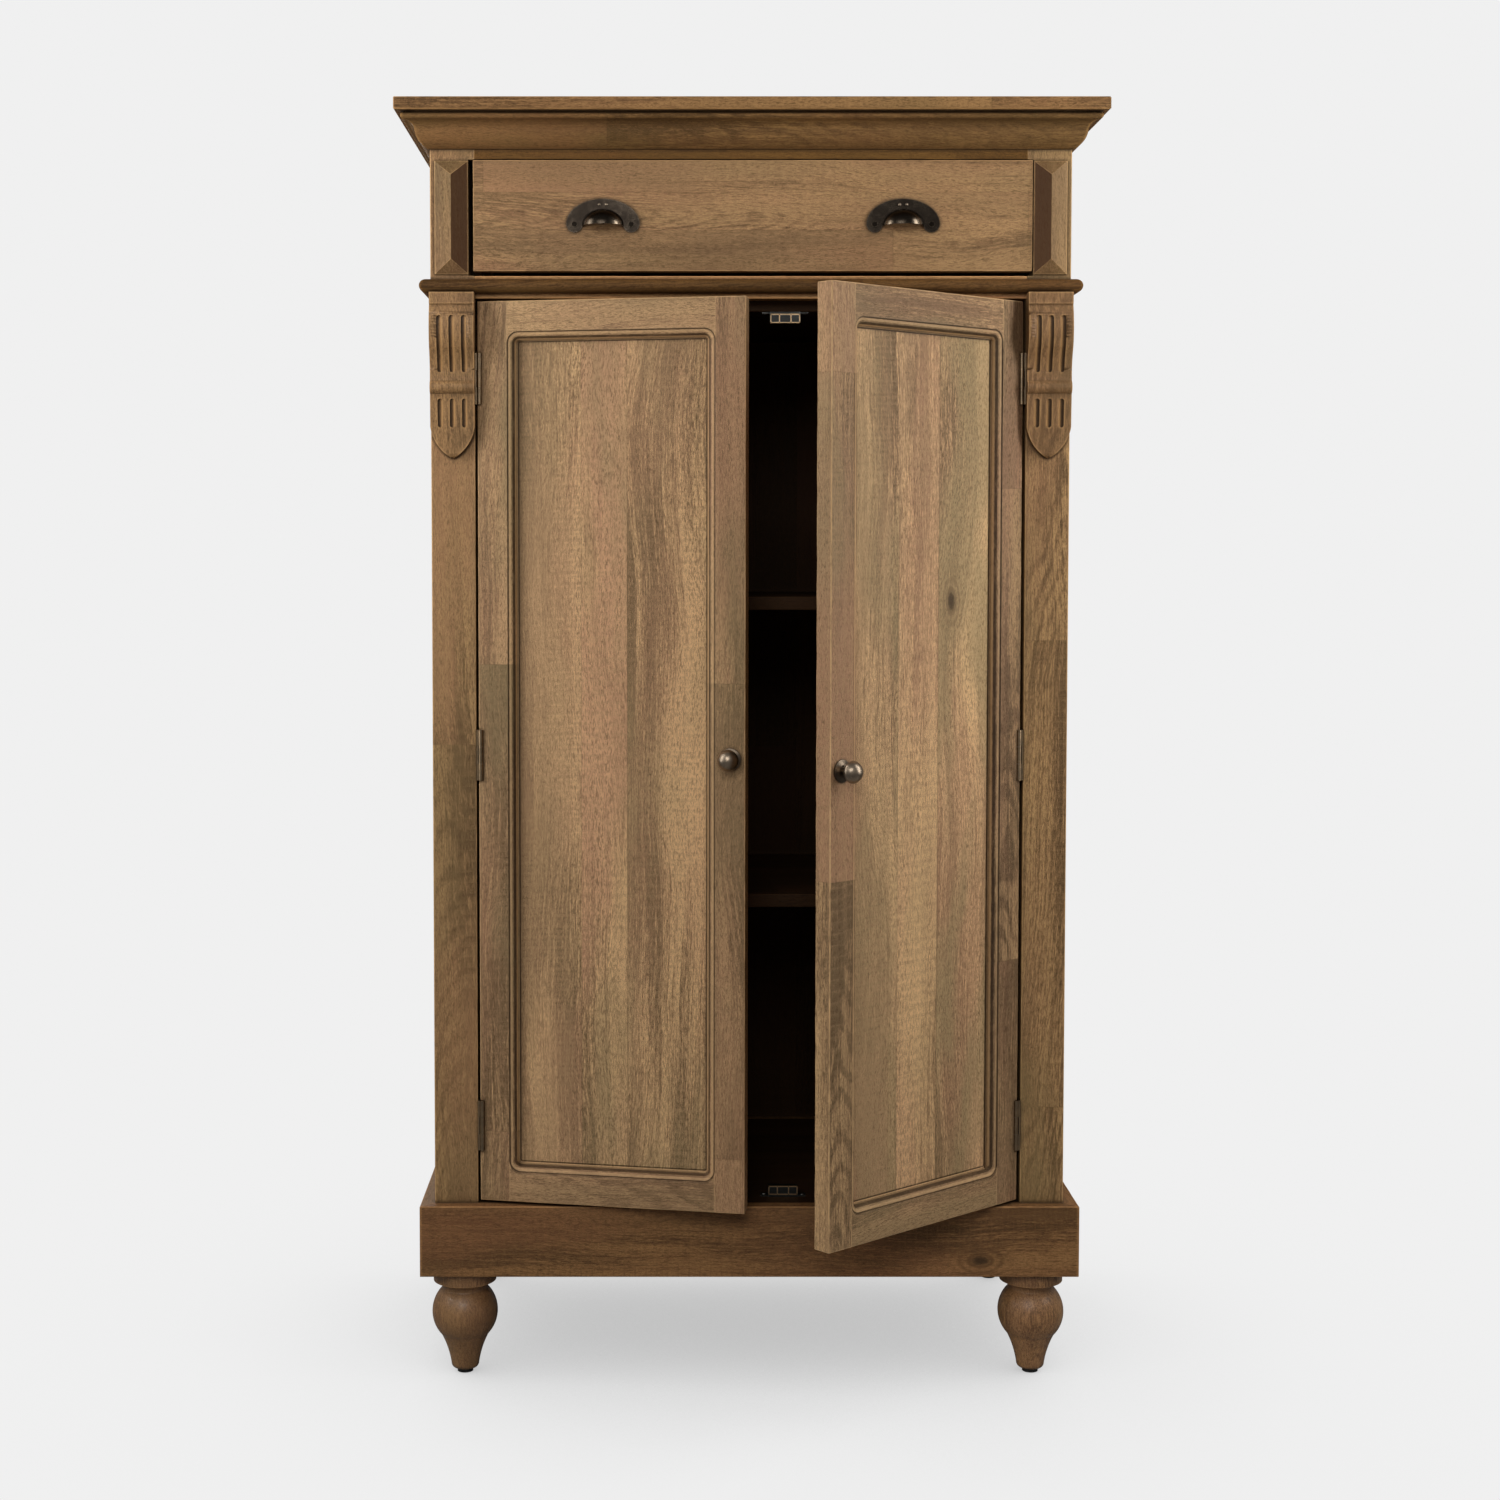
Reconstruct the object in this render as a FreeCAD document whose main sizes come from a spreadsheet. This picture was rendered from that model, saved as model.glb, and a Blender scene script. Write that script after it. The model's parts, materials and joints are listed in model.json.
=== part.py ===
import FreeCAD, Part

import math
import os

import Sketcher

# A tall two-door cabinet with one drawer, in millimetres. +Z is up, the front faces -Y, and the
# origin is on the floor under the middle of the carcase. Left and right are as seen from the front.

DRIVING = {
    "carcase_width": (830, "over the outer faces of the posts"),
    "carcase_depth": (466, "from the front of the front posts to the back"),
    "post_size": (57.5, "square section of a post"),
    "drawer_housing": (8, "cut from the inner face of a front post beside the drawer"),
    "glide_radius": (10.5, "black glide under a foot"),
    "glide_height": (5, "black glide under a foot"),
    "foot_height": (139, "turned foot, from glide to plinth"),
    "foot_inset": (36, "foot axis from the outer faces of its post"),
    "foot_toe_radius": (12, "flat under the foot"),
    "foot_toe_round": (6.5, "rounding of the toe"),
    "foot_shin_height": (47, "where the taper meets the bulb"),
    "foot_shin_radius": (31.7, "radius where the taper meets the bulb"),
    "foot_taper_hollow": (1.8, "how far the taper is hollowed"),
    "foot_bulb_swell": (12.6, "how far the bulb swells"),
    "foot_neck_radius": (30.5, "narrow neck over the bulb"),
    "foot_neck_band": (1.5, "straight part of the neck"),
    "foot_cove_radius": (9.5, "cove under the flange"),
    "foot_flange_radius": (41.8, "flange that meets the plinth"),
    "foot_flange_height": (19, "flange that meets the plinth"),
    "foot_tenon_radius": (12, "round tenon into the post"),
    "foot_tenon_height": (28, "round tenon into the post"),
    "tenon_play": (0.1, "round a tenon and over its end"),
    "plinth_height": (94, "all plinth boards"),
    "plinth_thickness": (18.5, "front and side plinth boards, proud of the posts"),
    "plinth_back_thickness": (22, "rear plinth board between the posts"),
    "door_opening_height": (1187, "from the plinth top to the header rail"),
    "header_height": (29, "rail between the doors and the drawer"),
    "waist_lower_fillet": (6.5, "header rail showing under the waist moulding"),
    "waist_upper_fillet": (4.5, "header rail showing over the waist moulding"),
    "waist_proud": (13.4, "waist moulding in front of the posts"),
    "drawer_opening_height": (149.5, "from the header rail to the frieze rail"),
    "frieze_height": (13, "frieze rail showing under the cornice"),
    "frieze_thickness": (22, "frieze rail"),
    "cornice_height": (43.5, "cornice moulding"),
    "cornice_overhang": (42, "top board past the posts"),
    "cornice_quirk": (2, "groove under the top board"),
    "cornice_bead": (8, "bead under the groove"),
    "cornice_cove_top": (30, "projection at the top of the cove"),
    "cornice_cove_foot": (17.5, "projection at the foot of the cove"),
    "cornice_ovolo_foot": (2, "projection at the foot of the moulding"),
    "cornice_ovolo_swell": (3.5, "how far the round under the cove swells"),
    "top_thickness": (16, "top board"),
    "side_rail_thickness": (22, "rails of the side frames, flush with the posts outside"),
    "side_bottom_rail": (70, "bottom rail of a side frame"),
    "side_middle_rail": (49, "rail behind the waist moulding"),
    "panel_thickness": (9, "side panels and the tongues of their rails"),
    "panel_recess": (10, "side panel behind the outer faces of the posts"),
    "groove_depth": (8, "panel grooves in posts and rails"),
    "panel_gap": (1, "a panel short of the bottom of its groove"),
    "board_thickness": (18, "floor, shelves and divider"),
    "divider_drop": (14, "underside of the divider below the header rail"),
    "stop_gap": (0.6, "closed door in front of the divider"),
    "back_thickness": (6, "back panel"),
    "back_rebate": (10, "back panel into the rear posts"),
    "shelf_play": (1, "round a loose shelf"),
    "lower_shelf_rise": (384, "underside of the lower shelf over the floor"),
    "upper_shelf_rise": (782, "underside of the upper shelf over the floor"),
    "cleat_size": (20, "square section of a shelf cleat"),
    "block_margin": (6, "outer face of a post to the raised block"),
    "block_end_gap": (2, "raised block short of the rails over and under it"),
    "block_base": (2, "flat base of the raised block"),
    "block_rise": (10, "hipped top of the raised block"),
    "block_hip": (18.5, "run of a hip along the block"),
    "block_ridge": (0.8, "width of the ridge"),
    "corbel_cap_proud": (20, "cap of the corbel"),
    "corbel_cap": (15, "height of the cap"),
    "corbel_step": (2, "hollow under the cap"),
    "corbel_body_proud": (18.5, "body of the corbel just under the cap"),
    "corbel_belly_drop": (70, "foot of the round belly, from the top"),
    "corbel_belly_proud": (21, "projection at the foot of the belly"),
    "corbel_belly_swell": (4.5, "how far the belly swells"),
    "corbel_sweep_drop": (113, "foot of the hollow sweep, from the top"),
    "corbel_sweep_proud": (12, "projection at the foot of the sweep"),
    "corbel_sweep_hollow": (3.5, "how far the sweep is hollowed"),
    "corbel_band": (17, "height of the round band"),
    "corbel_band_swell": (5, "how far the round band swells"),
    "corbel_leaf_proud": (8, "projection at the tip of the leaf"),
    "corbel_leaf_shoulder": (41, "leaf from its shoulder to its tip"),
    "corbel_leaf_swell": (6, "how far the two sides of the leaf swell"),
    "corbel_height": (213.5, "whole corbel"),
    "flute_width": (6.7, "carved flute"),
    "flute_depth": (3, "carved flute"),
    "flute_spacing": (15.8, "between flute centres"),
    "upper_flute_drop": (30, "top of the upper flutes, from the corbel top"),
    "upper_flute_length": (72.5, "upper flutes"),
    "lower_flute_drop": (136, "top of the lower flutes, from the corbel top"),
    "lower_flute_length": (37.5, "lower flutes"),
    "drawer_gap_left": (6.3, "drawer front to the left post"),
    "drawer_gap_right": (1, "drawer front to the right post"),
    "drawer_gap_under": (6, "drawer front over the header rail"),
    "drawer_gap_over": (0.8, "drawer front under the frieze rail"),
    "drawer_front_thickness": (22, "drawer front"),
    "drawer_front_proud": (1.5, "drawer front in front of the posts"),
    "drawer_side_thickness": (12, "drawer sides and back"),
    "drawer_side_height": (115, "drawer sides"),
    "drawer_back_drop": (12, "drawer back below the sides"),
    "drawer_back_room": (39.5, "drawer box to the back panel"),
    "drawer_side_room": (7.5, "drawer side to the inner face of a post"),
    "drawer_bottom_thickness": (6, "drawer bottom"),
    "drawer_bottom_rise": (8, "drawer bottom over the lower edge of the sides"),
    "drawer_groove": (6, "drawer bottom into the front and sides"),
    "run_gap": (0.4, "drawer over its runners"),
    "kick_gap": (1.5, "drawer under its kickers"),
    "guide_gap": (1.5, "drawer side to its guide"),
    "guide_height": (25, "guide beside the drawer side"),
    "runner_lap": (15, "runner and kicker past the drawer side"),
    "kicker_height": (20, "kicker"),
    "door_thickness": (25, "stiles and rails"),
    "door_stile": (39.7, "flat face of a stile"),
    "door_top_rail": (40, "flat face of the top rail"),
    "door_bottom_rail": (37.5, "flat face of the bottom rail"),
    "door_ring": (12, "routed moulding round the panel, wide and deep"),
    "door_ring_corner": (3, "inner corner of the routed moulding"),
    "door_ring_quirk": (1.2, "sunk line round the routed moulding, wide and deep"),
    "door_ring_ledge": (1.8, "flat ledge along the panel"),
    "door_ring_ledge_drop": (1.5, "ledge down to the panel"),
    "door_panel_thickness": (9, "door panel"),
    "door_groove": (8, "door panel groove"),
    "door_tenon": (20, "stub tenon of a rail"),
    "door_gap_over": (3.4, "door under the header rail"),
    "door_gap_under": (3.5, "door over the plinth"),
    "door_gap_centre": (4, "between the two closed doors"),
    "hinge_height": (66, "butt hinge"),
    "hinge_leaf_width": (20, "butt hinge leaf behind its pin"),
    "hinge_leaf_thickness": (1.6, "butt hinge leaf"),
    "hinge_barrel_radius": (3.25, "butt hinge knuckle"),
    "hinge_leaf_gap": (0.65, "knuckle of a door to the leaf on the post"),
    "hinge_closed_gap": (1, "between the two leaves of a closed hinge"),
    "hinge_axis_proud": (0.5, "hinge pin in front of the posts"),
    "hinge_pin_radius": (1.2, "hinge pin"),
    "hinge_pin_play": (0.08, "door knuckle round its pin"),
    "hinge_knuckle_gap": (0.4, "between knuckles, and round them"),
    "hinge_end": (100, "middle of an outer hinge from the end of the door"),
    "hinge_web": (1.8, "thickness of the web from leaf to knuckle"),
    "knob_rose_radius": (14, "rose of a knob"),
    "knob_rose_edge": (1.4, "straight edge of the rose"),
    "knob_rose_height": (3.6, "domed rose"),
    "knob_shoulder_radius": (8, "top of the rose"),
    "knob_neck_radius": (5, "neck of a knob"),
    "knob_neck_top": (10, "top of the neck"),
    "knob_head_under": (12, "radius under the head"),
    "knob_head_start": (14.5, "distance to the wide part of the head"),
    "knob_head_radius": (14, "widest part of the head"),
    "knob_head_middle": (18.5, "distance to the widest part"),
    "knob_projection": (30.5, "whole knob in front of the door"),
    "knob_stud_radius": (2.4, "stud into the stile"),
    "knob_stud_length": (16, "stud into the stile"),
    "pull_spacing": (388, "between the two cup pulls"),
    "pull_rise": (60, "screw line over the lower edge of the drawer front"),
    "pull_half_width": (47.4, "half of the back plate"),
    "pull_plate_rise": (32.5, "arched top of the back plate over the screw line"),
    "pull_plate_thickness": (2, "back plate"),
    "pull_lobe_radius": (10.2, "round ends of the back plate"),
    "pull_screw_spacing": (73.6, "between screw centres"),
    "pull_cup_half_width": (27, "outside of the cup"),
    "pull_cup_rise": (21.5, "outside of the cup over its mouth"),
    "pull_cup_projection": (24, "outside of the cup in front of the drawer"),
    "pull_cup_wall": (2, "cup"),
    "pull_mouth_drop": (1.8, "mouth of the cup below the screw line"),
    "pull_hole_radius": (2.1, "screw hole in the back plate"),
    "screw_radius": (1.7, "pull screw"),
    "screw_length": (16, "pull screw in the drawer front"),
    "screw_head_radius": (3.8, "pull screw head"),
    "screw_head_height": (1.6, "pull screw head"),
    "screw_play": (0.1, "round a pull screw"),
    "catch_offset": (46.3, "magnetic catch from the middle of the cabinet"),
    "catch_width": (39.5, "catch housing"),
    "catch_height": (13, "catch housing"),
    "catch_depth": (16, "catch housing"),
    "catch_foot_width": (60, "screw foot of a catch"),
    "catch_foot_depth": (12, "screw foot of a catch"),
    "catch_foot_thickness": (2, "screw foot of a catch"),
    "catch_gap": (0.5, "closed strike plate to its catch"),
    "strike_width": (38, "strike plate"),
    "strike_height": (11, "strike plate"),
    "strike_thickness": (1.5, "strike plate"),
    "strike_margin": (1, "lower strike plate over the lower edge of the door"),
    "overrun": (5, "how far every cutting shape runs past what it cuts"),
}

DRIVING_ANGLES = {
    "door_left_rest_angle": (10.8, "degrees, left door ajar as photographed"),
    "door_right_rest_angle": (41.3, "degrees, right door ajar as photographed"),
}

# How near an edge of a door blank lies to the plane that it is looked for on, as a share of the
# quirk of the routed moulding.
TOUCH_SHARE = 0.1

doc = FreeCAD.newDocument("trastero_cabinet")
sheet = doc.addObject("Spreadsheet::Sheet", "sizes")
finished = []


class Size:
    """A length or an angle, held both as a number and as a formula on the sheet."""

    def __init__(self, number, formula):
        self.number = number
        self.formula = formula

    def __add__(self, other):
        return combine(self, "+", other)

    def __radd__(self, other):
        return combine(other, "+", self)

    def __sub__(self, other):
        return combine(self, "-", other)

    def __rsub__(self, other):
        return combine(other, "-", self)

    def __mul__(self, other):
        return combine(self, "*", other)

    def __rmul__(self, other):
        return combine(other, "*", self)

    def __truediv__(self, other):
        return combine(self, "/", other)

    def __neg__(self):
        return combine(-1, "*", self)


def as_size(value):
    return value if isinstance(value, Size) else Size(float(value), f"({value})")


def combine(left, sign, right):
    left, right = as_size(left), as_size(right)
    number = {
        "+": lambda: left.number + right.number,
        "-": lambda: left.number - right.number,
        "*": lambda: left.number * right.number,
        "/": lambda: left.number / right.number,
    }[sign]()
    return Size(number, f"({left.formula} {sign} {right.formula})")


def cosine(angle):
    return Size(math.cos(math.radians(angle.number)), f"cos({angle.formula} * 1 deg)")


def sine(angle):
    return Size(math.sin(math.radians(angle.number)), f"sin({angle.formula} * 1 deg)")


def fill_sheet():
    values = {**DRIVING, **DRIVING_ANGLES}
    for row, (alias, (number, meaning)) in enumerate(values.items(), start=1):
        sheet.set(f"A{row}", alias)
        sheet.set(f"B{row}", str(number))
        sheet.setAlias(f"B{row}", alias)
        sheet.set(f"C{row}", meaning)
    doc.recompute()
    return {alias: Size(float(sheet.get(alias)), f"sizes.{alias}") for alias in values}


S = fill_sheet()

half_width = S["carcase_width"] / 2
front = -S["carcase_depth"] / 2
back = S["carcase_depth"] / 2
opening_half = half_width - S["post_size"]
drawer_opening_half = opening_half + S["drawer_housing"]
side_inner = half_width - S["side_rail_thickness"]
post_back_of_front = front + S["post_size"]
post_front_of_rear = back - S["post_size"]

z_plinth = S["glide_height"] + S["foot_height"]
z_floor = z_plinth + S["plinth_height"]
z_head = z_floor + S["door_opening_height"]
z_waist = z_head + S["header_height"]
z_frieze = z_waist + S["drawer_opening_height"]
z_cornice = z_frieze + S["frieze_height"]
z_top = z_cornice + S["cornice_height"]
z_crown = z_top + S["top_thickness"]
z_divider = z_head - S["divider_drop"]
z_door_low = z_floor + S["door_gap_under"]
z_door_high = z_head - S["door_gap_over"]
z_door_middle = (z_door_low + z_door_high) / 2
z_drawer = z_waist + S["drawer_gap_under"]
z_corbel = z_head + S["waist_lower_fillet"]
door_inner = S["door_gap_centre"] / 2
door_outer = opening_half - S["hinge_leaf_thickness"] - S["hinge_closed_gap"]
door_back = front + S["door_thickness"]
stop_face = door_back + S["stop_gap"]
hinge_inset = S["hinge_barrel_radius"] + S["hinge_leaf_thickness"] + S["hinge_leaf_gap"]
hinge_x = opening_half - hinge_inset
hinge_y = front - S["hinge_axis_proud"]
drawer_face = front - S["drawer_front_proud"]
drawer_front_back = drawer_face + S["drawer_front_thickness"]
drawer_half = opening_half - S["drawer_side_room"]
SIDES = {"left": -1, "right": 1}


# Building blocks


def bind(obj, name, value):
    obj.setExpression(name, as_size(value).formula)


def place(obj, at=(0, 0, 0), turn=None):
    """Puts an object at a point, and swings it about a vertical pivot (x, y, angle) if one is given."""
    x, y, z = (as_size(value) for value in at)
    if turn:
        pivot_x, pivot_y, angle = turn
        across, along = x - pivot_x, y - pivot_y
        x = pivot_x + across * cosine(angle) - along * sine(angle)
        y = pivot_y + across * sine(angle) + along * cosine(angle)
        obj.Placement.Rotation = FreeCAD.Rotation(FreeCAD.Vector(0, 0, 1), angle.number)
        bind(obj, "Placement.Rotation.Angle", angle)
    obj.Placement.Base = FreeCAD.Vector(x.number, y.number, z.number)
    for name, value in (("x", x), ("y", y), ("z", z)):
        bind(obj, f"Placement.Base.{name}", value)
    return obj


def board(label, xs, ys, zs, turn=None):
    """A plain board between a low and a high value on each axis."""
    box = doc.addObject("Part::Box", label)
    for name, (low, high) in (("Length", xs), ("Width", ys), ("Height", zs)):
        bind(box, name, as_size(high) - low)
    return place(box, (xs[0], ys[0], zs[0]), turn)


def post_along_z(label, x, y, low, high, radius):
    cylinder = doc.addObject("Part::Cylinder", label)
    bind(cylinder, "Radius", radius)
    bind(cylinder, "Height", as_size(high) - low)
    return place(cylinder, (x, y, low))


def peg_along_y(label, x, z, low, high, radius):
    """A round peg from the low y to the high y."""
    cylinder = doc.addObject("Part::Cylinder", label)
    bind(cylinder, "Radius", radius)
    bind(cylinder, "Height", as_size(high) - low)
    cylinder.Placement.Rotation = FreeCAD.Rotation(FreeCAD.Vector(1, 0, 0), -90)
    return place(cylinder, (x, low, z))


def boolean(kind, label, base, tool):
    result = doc.addObject(kind, label)
    result.Base = base
    result.Tool = tool
    return result


def fuse(label, shapes):
    result = doc.addObject("Part::MultiFuse", label)
    result.Shapes = shapes
    return result


def cut(label, base, tools):
    tool = tools[0] if len(tools) == 1 else fuse(f"{label}_cuts", tools)
    return boolean("Part::Cut", label, base, tool)


def common(label, base, tool):
    return boolean("Part::Common", label, base, tool)


def group(label, shapes):
    result = doc.addObject("Part::Compound", label)
    result.Links = shapes
    return result


def finish(label, obj, turn=None):
    """Names a finished piece, swings it if it hangs on an open door, and keeps it for writing."""
    if turn:
        place(obj, (0, 0, 0), turn)
    obj.Label = label
    finished.append(obj)


def across(side, inner, outer):
    """The low and the high x of something that lies between two distances from the middle."""
    return (as_size(inner), as_size(outer)) if side > 0 else (-as_size(outer), -as_size(inner))


def plane_of(body, role):
    return next(f for f in body.Origin.OriginFeatures if f.Role == role)


def swelling(across_by, up_by, swell):
    """The radius of an arc whose ends lie so far apart, and which swells so far from its chord."""
    return (across_by * across_by + up_by * up_by) / (8 * swell) + swell / 2


def centre_of_arc(start, end, radius, turn):
    """The centre of the shorter arc from start to end, on the left of the way if turn is 1."""
    along_x, along_y = end[0] - start[0], end[1] - start[1]
    chord = math.hypot(along_x, along_y)
    height = math.sqrt(max(radius**2 - chord**2 / 4, 0.0))
    middle_x, middle_y = (start[0] + end[0]) / 2, (start[1] + end[1]) / 2
    return (middle_x - turn * height * along_y / chord, middle_y + turn * height * along_x / chord)


def draw(body, role, steps, lift=None):
    """Draws a closed outline. A step is a point (u, v) that a line runs to, or (u, v, radius, turn)."""
    sketch = body.newObject("Sketcher::SketchObject", f"{body.Name}_outline")
    sketch.AttachmentSupport = [(plane_of(body, role), "")]
    sketch.MapMode = "FlatFace"
    if lift:
        above = FreeCAD.Vector(0, 0, lift.number)
        sketch.AttachmentOffset = FreeCAD.Placement(above, FreeCAD.Rotation())
        bind(sketch, "AttachmentOffset.Base.z", lift)
    points = [(as_size(step[0]), as_size(step[1])) for step in steps]
    ends = []
    for index, step in enumerate(steps):
        start = tuple(value.number for value in points[index - 1])
        end = tuple(value.number for value in points[index])
        if len(step) == 2:
            line = Part.LineSegment(FreeCAD.Vector(*start, 0), FreeCAD.Vector(*end, 0))
            ends.append((sketch.addGeometry(line), 1, 2))
            continue
        radius, turn = step[2].number, step[3]
        x, y = centre_of_arc(start, end, radius, turn)
        angles = [math.atan2(point[1] - y, point[0] - x) for point in (start, end)]
        circle = Part.Circle(FreeCAD.Vector(x, y, 0), FreeCAD.Vector(0, 0, 1), radius)
        first, last = angles if turn > 0 else angles[::-1]
        arc = sketch.addGeometry(Part.ArcOfCircle(circle, first, last))
        ends.append((arc, 1, 2) if turn > 0 else (arc, 2, 1))
    for index, step in enumerate(steps):
        this, following = ends[index], ends[(index + 1) % len(steps)]
        sketch.addConstraint(
            Sketcher.Constraint("Coincident", this[0], this[2], following[0], following[1])
        )
        for kind, value in zip(("DistanceX", "DistanceY"), points[index]):
            number = sketch.addConstraint(Sketcher.Constraint(kind, this[0], this[2], value.number))
            bind(sketch, f"Constraints[{number}]", value)
        if len(step) == 4:
            number = sketch.addConstraint(Sketcher.Constraint("Radius", this[0], step[2].number))
            bind(sketch, f"Constraints[{number}]", step[2])
    return sketch


def prism(label, role, steps, start, length):
    """Pads an outline along its plane's normal: +Z from XY, -Y from XZ and +X from YZ."""
    body = doc.addObject("PartDesign::Body", label)
    sketch = draw(body, role, steps)
    pad = body.newObject("PartDesign::Pad", f"{label}_pad")
    pad.Profile = sketch
    bind(pad, "Length", length)
    body.Tip = pad
    at = {"XY_Plane": (0, 0, start), "XZ_Plane": (0, start, 0), "YZ_Plane": (start, 0, 0)}[role]
    return place(body, at)


def turning(label, role, steps):
    """Turns an outline about its plane's upright axis."""
    body = doc.addObject("PartDesign::Body", label)
    sketch = draw(body, role, steps)
    lathe = body.newObject("PartDesign::Revolution", f"{label}_turning")
    lathe.Profile = sketch
    lathe.ReferenceAxis = (sketch, ["V_Axis"])
    lathe.Angle = 360
    body.Tip = lathe
    return body


def mapped(steps, origin, direction):
    """Carries a moulding profile of (projection, height) onto a plane's own first axis."""
    return [
        (origin + direction * step[0], step[1], *((step[2], step[3] * direction) if step[2:] else ()))
        for step in steps
    ]


# Mouldings that run across the front and return along both sides


def mitre_triangle(side, proud, for_front):
    """The outline that is cut away at a corner, on one side of the mitre or the other."""
    extra = S["overrun"]
    outer, inner = side * (half_width + proud + extra), side * (half_width - extra)
    near, far = front - proud - extra, front + extra
    third = (outer, far) if for_front else (inner, near)
    return [(outer, near), (inner, far), third]


def moulding_set(label, steps, proud, low, height):
    """Three lengths of one moulding, mitred at the two front corners: the front, left and right."""
    reach = half_width + proud
    cuts_front = []
    for word, side in SIDES.items():
        triangle = mitre_triangle(side, proud, True)
        cuts_front.append(prism(f"{label}_front_mitre_{word}", "XY_Plane", triangle, low, height))
    run = prism(f"{label}_front_run", "YZ_Plane", mapped(steps, front, -1), -reach, 2 * reach)
    lengths = {"front": cut(f"{label}_front", run, cuts_front)}
    for word, side in SIDES.items():
        profile = mapped(steps, side * half_width, side)
        length = S["carcase_depth"] + proud
        run = prism(f"{label}_{word}_run", "XZ_Plane", profile, back, length)
        triangle = mitre_triangle(side, proud, False)
        mitre = prism(f"{label}_{word}_mitre", "XY_Plane", triangle, low, height)
        lengths[word] = cut(f"{label}_{word}", run, [mitre])
    return lengths


def make_cornice():
    bead_radius = S["cornice_bead"] / 2
    z_bead = z_top - S["cornice_quirk"]
    z_cove = z_bead - S["cornice_bead"]
    cove_radius = S["cornice_cove_top"] - S["cornice_cove_foot"]
    ovolo_width = S["cornice_cove_foot"] - S["cornice_ovolo_foot"]
    ovolo_radius = swelling(ovolo_width, z_cove - cove_radius - z_cornice, S["cornice_ovolo_swell"])
    steps = [
        (0, z_cornice),
        (0, z_top),
        (S["cornice_cove_top"], z_top),
        (S["cornice_cove_top"], z_bead),
        (S["cornice_cove_top"] + bead_radius, z_bead - bead_radius, bead_radius, -1),
        (S["cornice_cove_top"], z_cove, bead_radius, -1),
        (S["cornice_cove_foot"], z_cove - cove_radius, cove_radius, 1),
        (S["cornice_ovolo_foot"], z_cornice, ovolo_radius, -1),
    ]
    extra = S["overrun"]
    proud = S["cornice_cove_top"] + bead_radius
    height = S["cornice_height"] + 2 * extra
    for word, piece in moulding_set("cornice", steps, proud, z_cornice - extra, height).items():
        finish(f"cornice_{word}", piece)


def make_waist_moulding():
    low, high = z_head + S["waist_lower_fillet"], z_waist - S["waist_upper_fillet"]
    radius = (high - low) / 2
    flat = S["waist_proud"] - radius
    steps = [
        (0, high),
        (0, low),
        (flat, low),
        (S["waist_proud"], low + radius, radius, 1),
        (flat, high, radius, 1),
    ]
    extra = S["overrun"]
    height = high - low + 2 * extra
    pieces = moulding_set("waist_moulding", steps, S["waist_proud"], low - extra, height)
    for word, piece in pieces.items():
        finish(f"waist_moulding_{word}", piece)


def make_plinth():
    proud = S["plinth_thickness"]
    steps = [(0, z_plinth), (0, z_floor), (proud, z_floor), (proud, z_plinth)]
    extra = S["overrun"]
    height = S["plinth_height"] + 2 * extra
    pieces = moulding_set("plinth", steps, proud, z_plinth - extra, height)
    finish("plinth_front", pieces["front"])
    finish("plinth_sides", group("plinth_sides", [pieces["left"], pieces["right"]]))
    ys = (back - S["plinth_back_thickness"], back)
    finish("plinth_back", board("plinth_back", (-opening_half, opening_half), ys, (z_plinth, z_floor)))


# Feet


def foot_places():
    inset = S["foot_inset"]
    for row, y in (("front", front + inset), ("rear", back - inset)):
        for word, side in SIDES.items():
            yield f"{row}_{word}", side * (half_width - inset), y


def make_feet():
    bulb_foot = S["foot_shin_height"]
    flange_foot = S["foot_height"] - S["foot_flange_height"]
    neck = flange_foot - S["foot_cove_radius"]
    bulb_top = neck - S["foot_neck_band"]
    shin = S["foot_toe_radius"] + S["foot_toe_round"]
    taper_radius = swelling(
        S["foot_shin_radius"] - shin, bulb_foot - S["foot_toe_round"], S["foot_taper_hollow"]
    )
    bulb_radius = swelling(
        S["foot_shin_radius"] - S["foot_neck_radius"], bulb_top - bulb_foot, S["foot_bulb_swell"]
    )
    tenon_top = S["foot_height"] + S["foot_tenon_height"]
    steps = [
        (0, 0),
        (S["foot_toe_radius"], 0),
        (shin, S["foot_toe_round"], S["foot_toe_round"], 1),
        (S["foot_shin_radius"], bulb_foot, taper_radius, -1),
        (S["foot_neck_radius"], bulb_top, bulb_radius, 1),
        (S["foot_neck_radius"], neck),
        (S["foot_neck_radius"] + S["foot_cove_radius"], flange_foot, S["foot_cove_radius"], -1),
        (S["foot_flange_radius"], flange_foot),
        (S["foot_flange_radius"], S["foot_height"]),
        (S["foot_tenon_radius"], S["foot_height"]),
        (S["foot_tenon_radius"], tenon_top),
        (0, tenon_top),
    ]
    glides = []
    for word, x, y in foot_places():
        foot = place(turning(f"foot_{word}", "XZ_Plane", steps), (x, y, S["glide_height"]))
        finish(f"foot_{word}", foot)
        glides.append(
            post_along_z(f"glide_{word}", x, y, 0, S["glide_height"], S["glide_radius"])
        )
    finish("foot_glides", group("foot_glides", glides))


# Posts and the frames between them


def panel_zone():
    """The distances from the middle between which a side panel and the tongues lie."""
    outer = half_width - S["panel_recess"]
    return outer - S["panel_thickness"], outer


def tenon_hole(label, x, y):
    top = z_plinth + S["foot_tenon_height"] + S["tenon_play"]
    radius = S["foot_tenon_radius"] + S["tenon_play"]
    return post_along_z(label, x, y, z_plinth - S["overrun"], top, radius)


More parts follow.
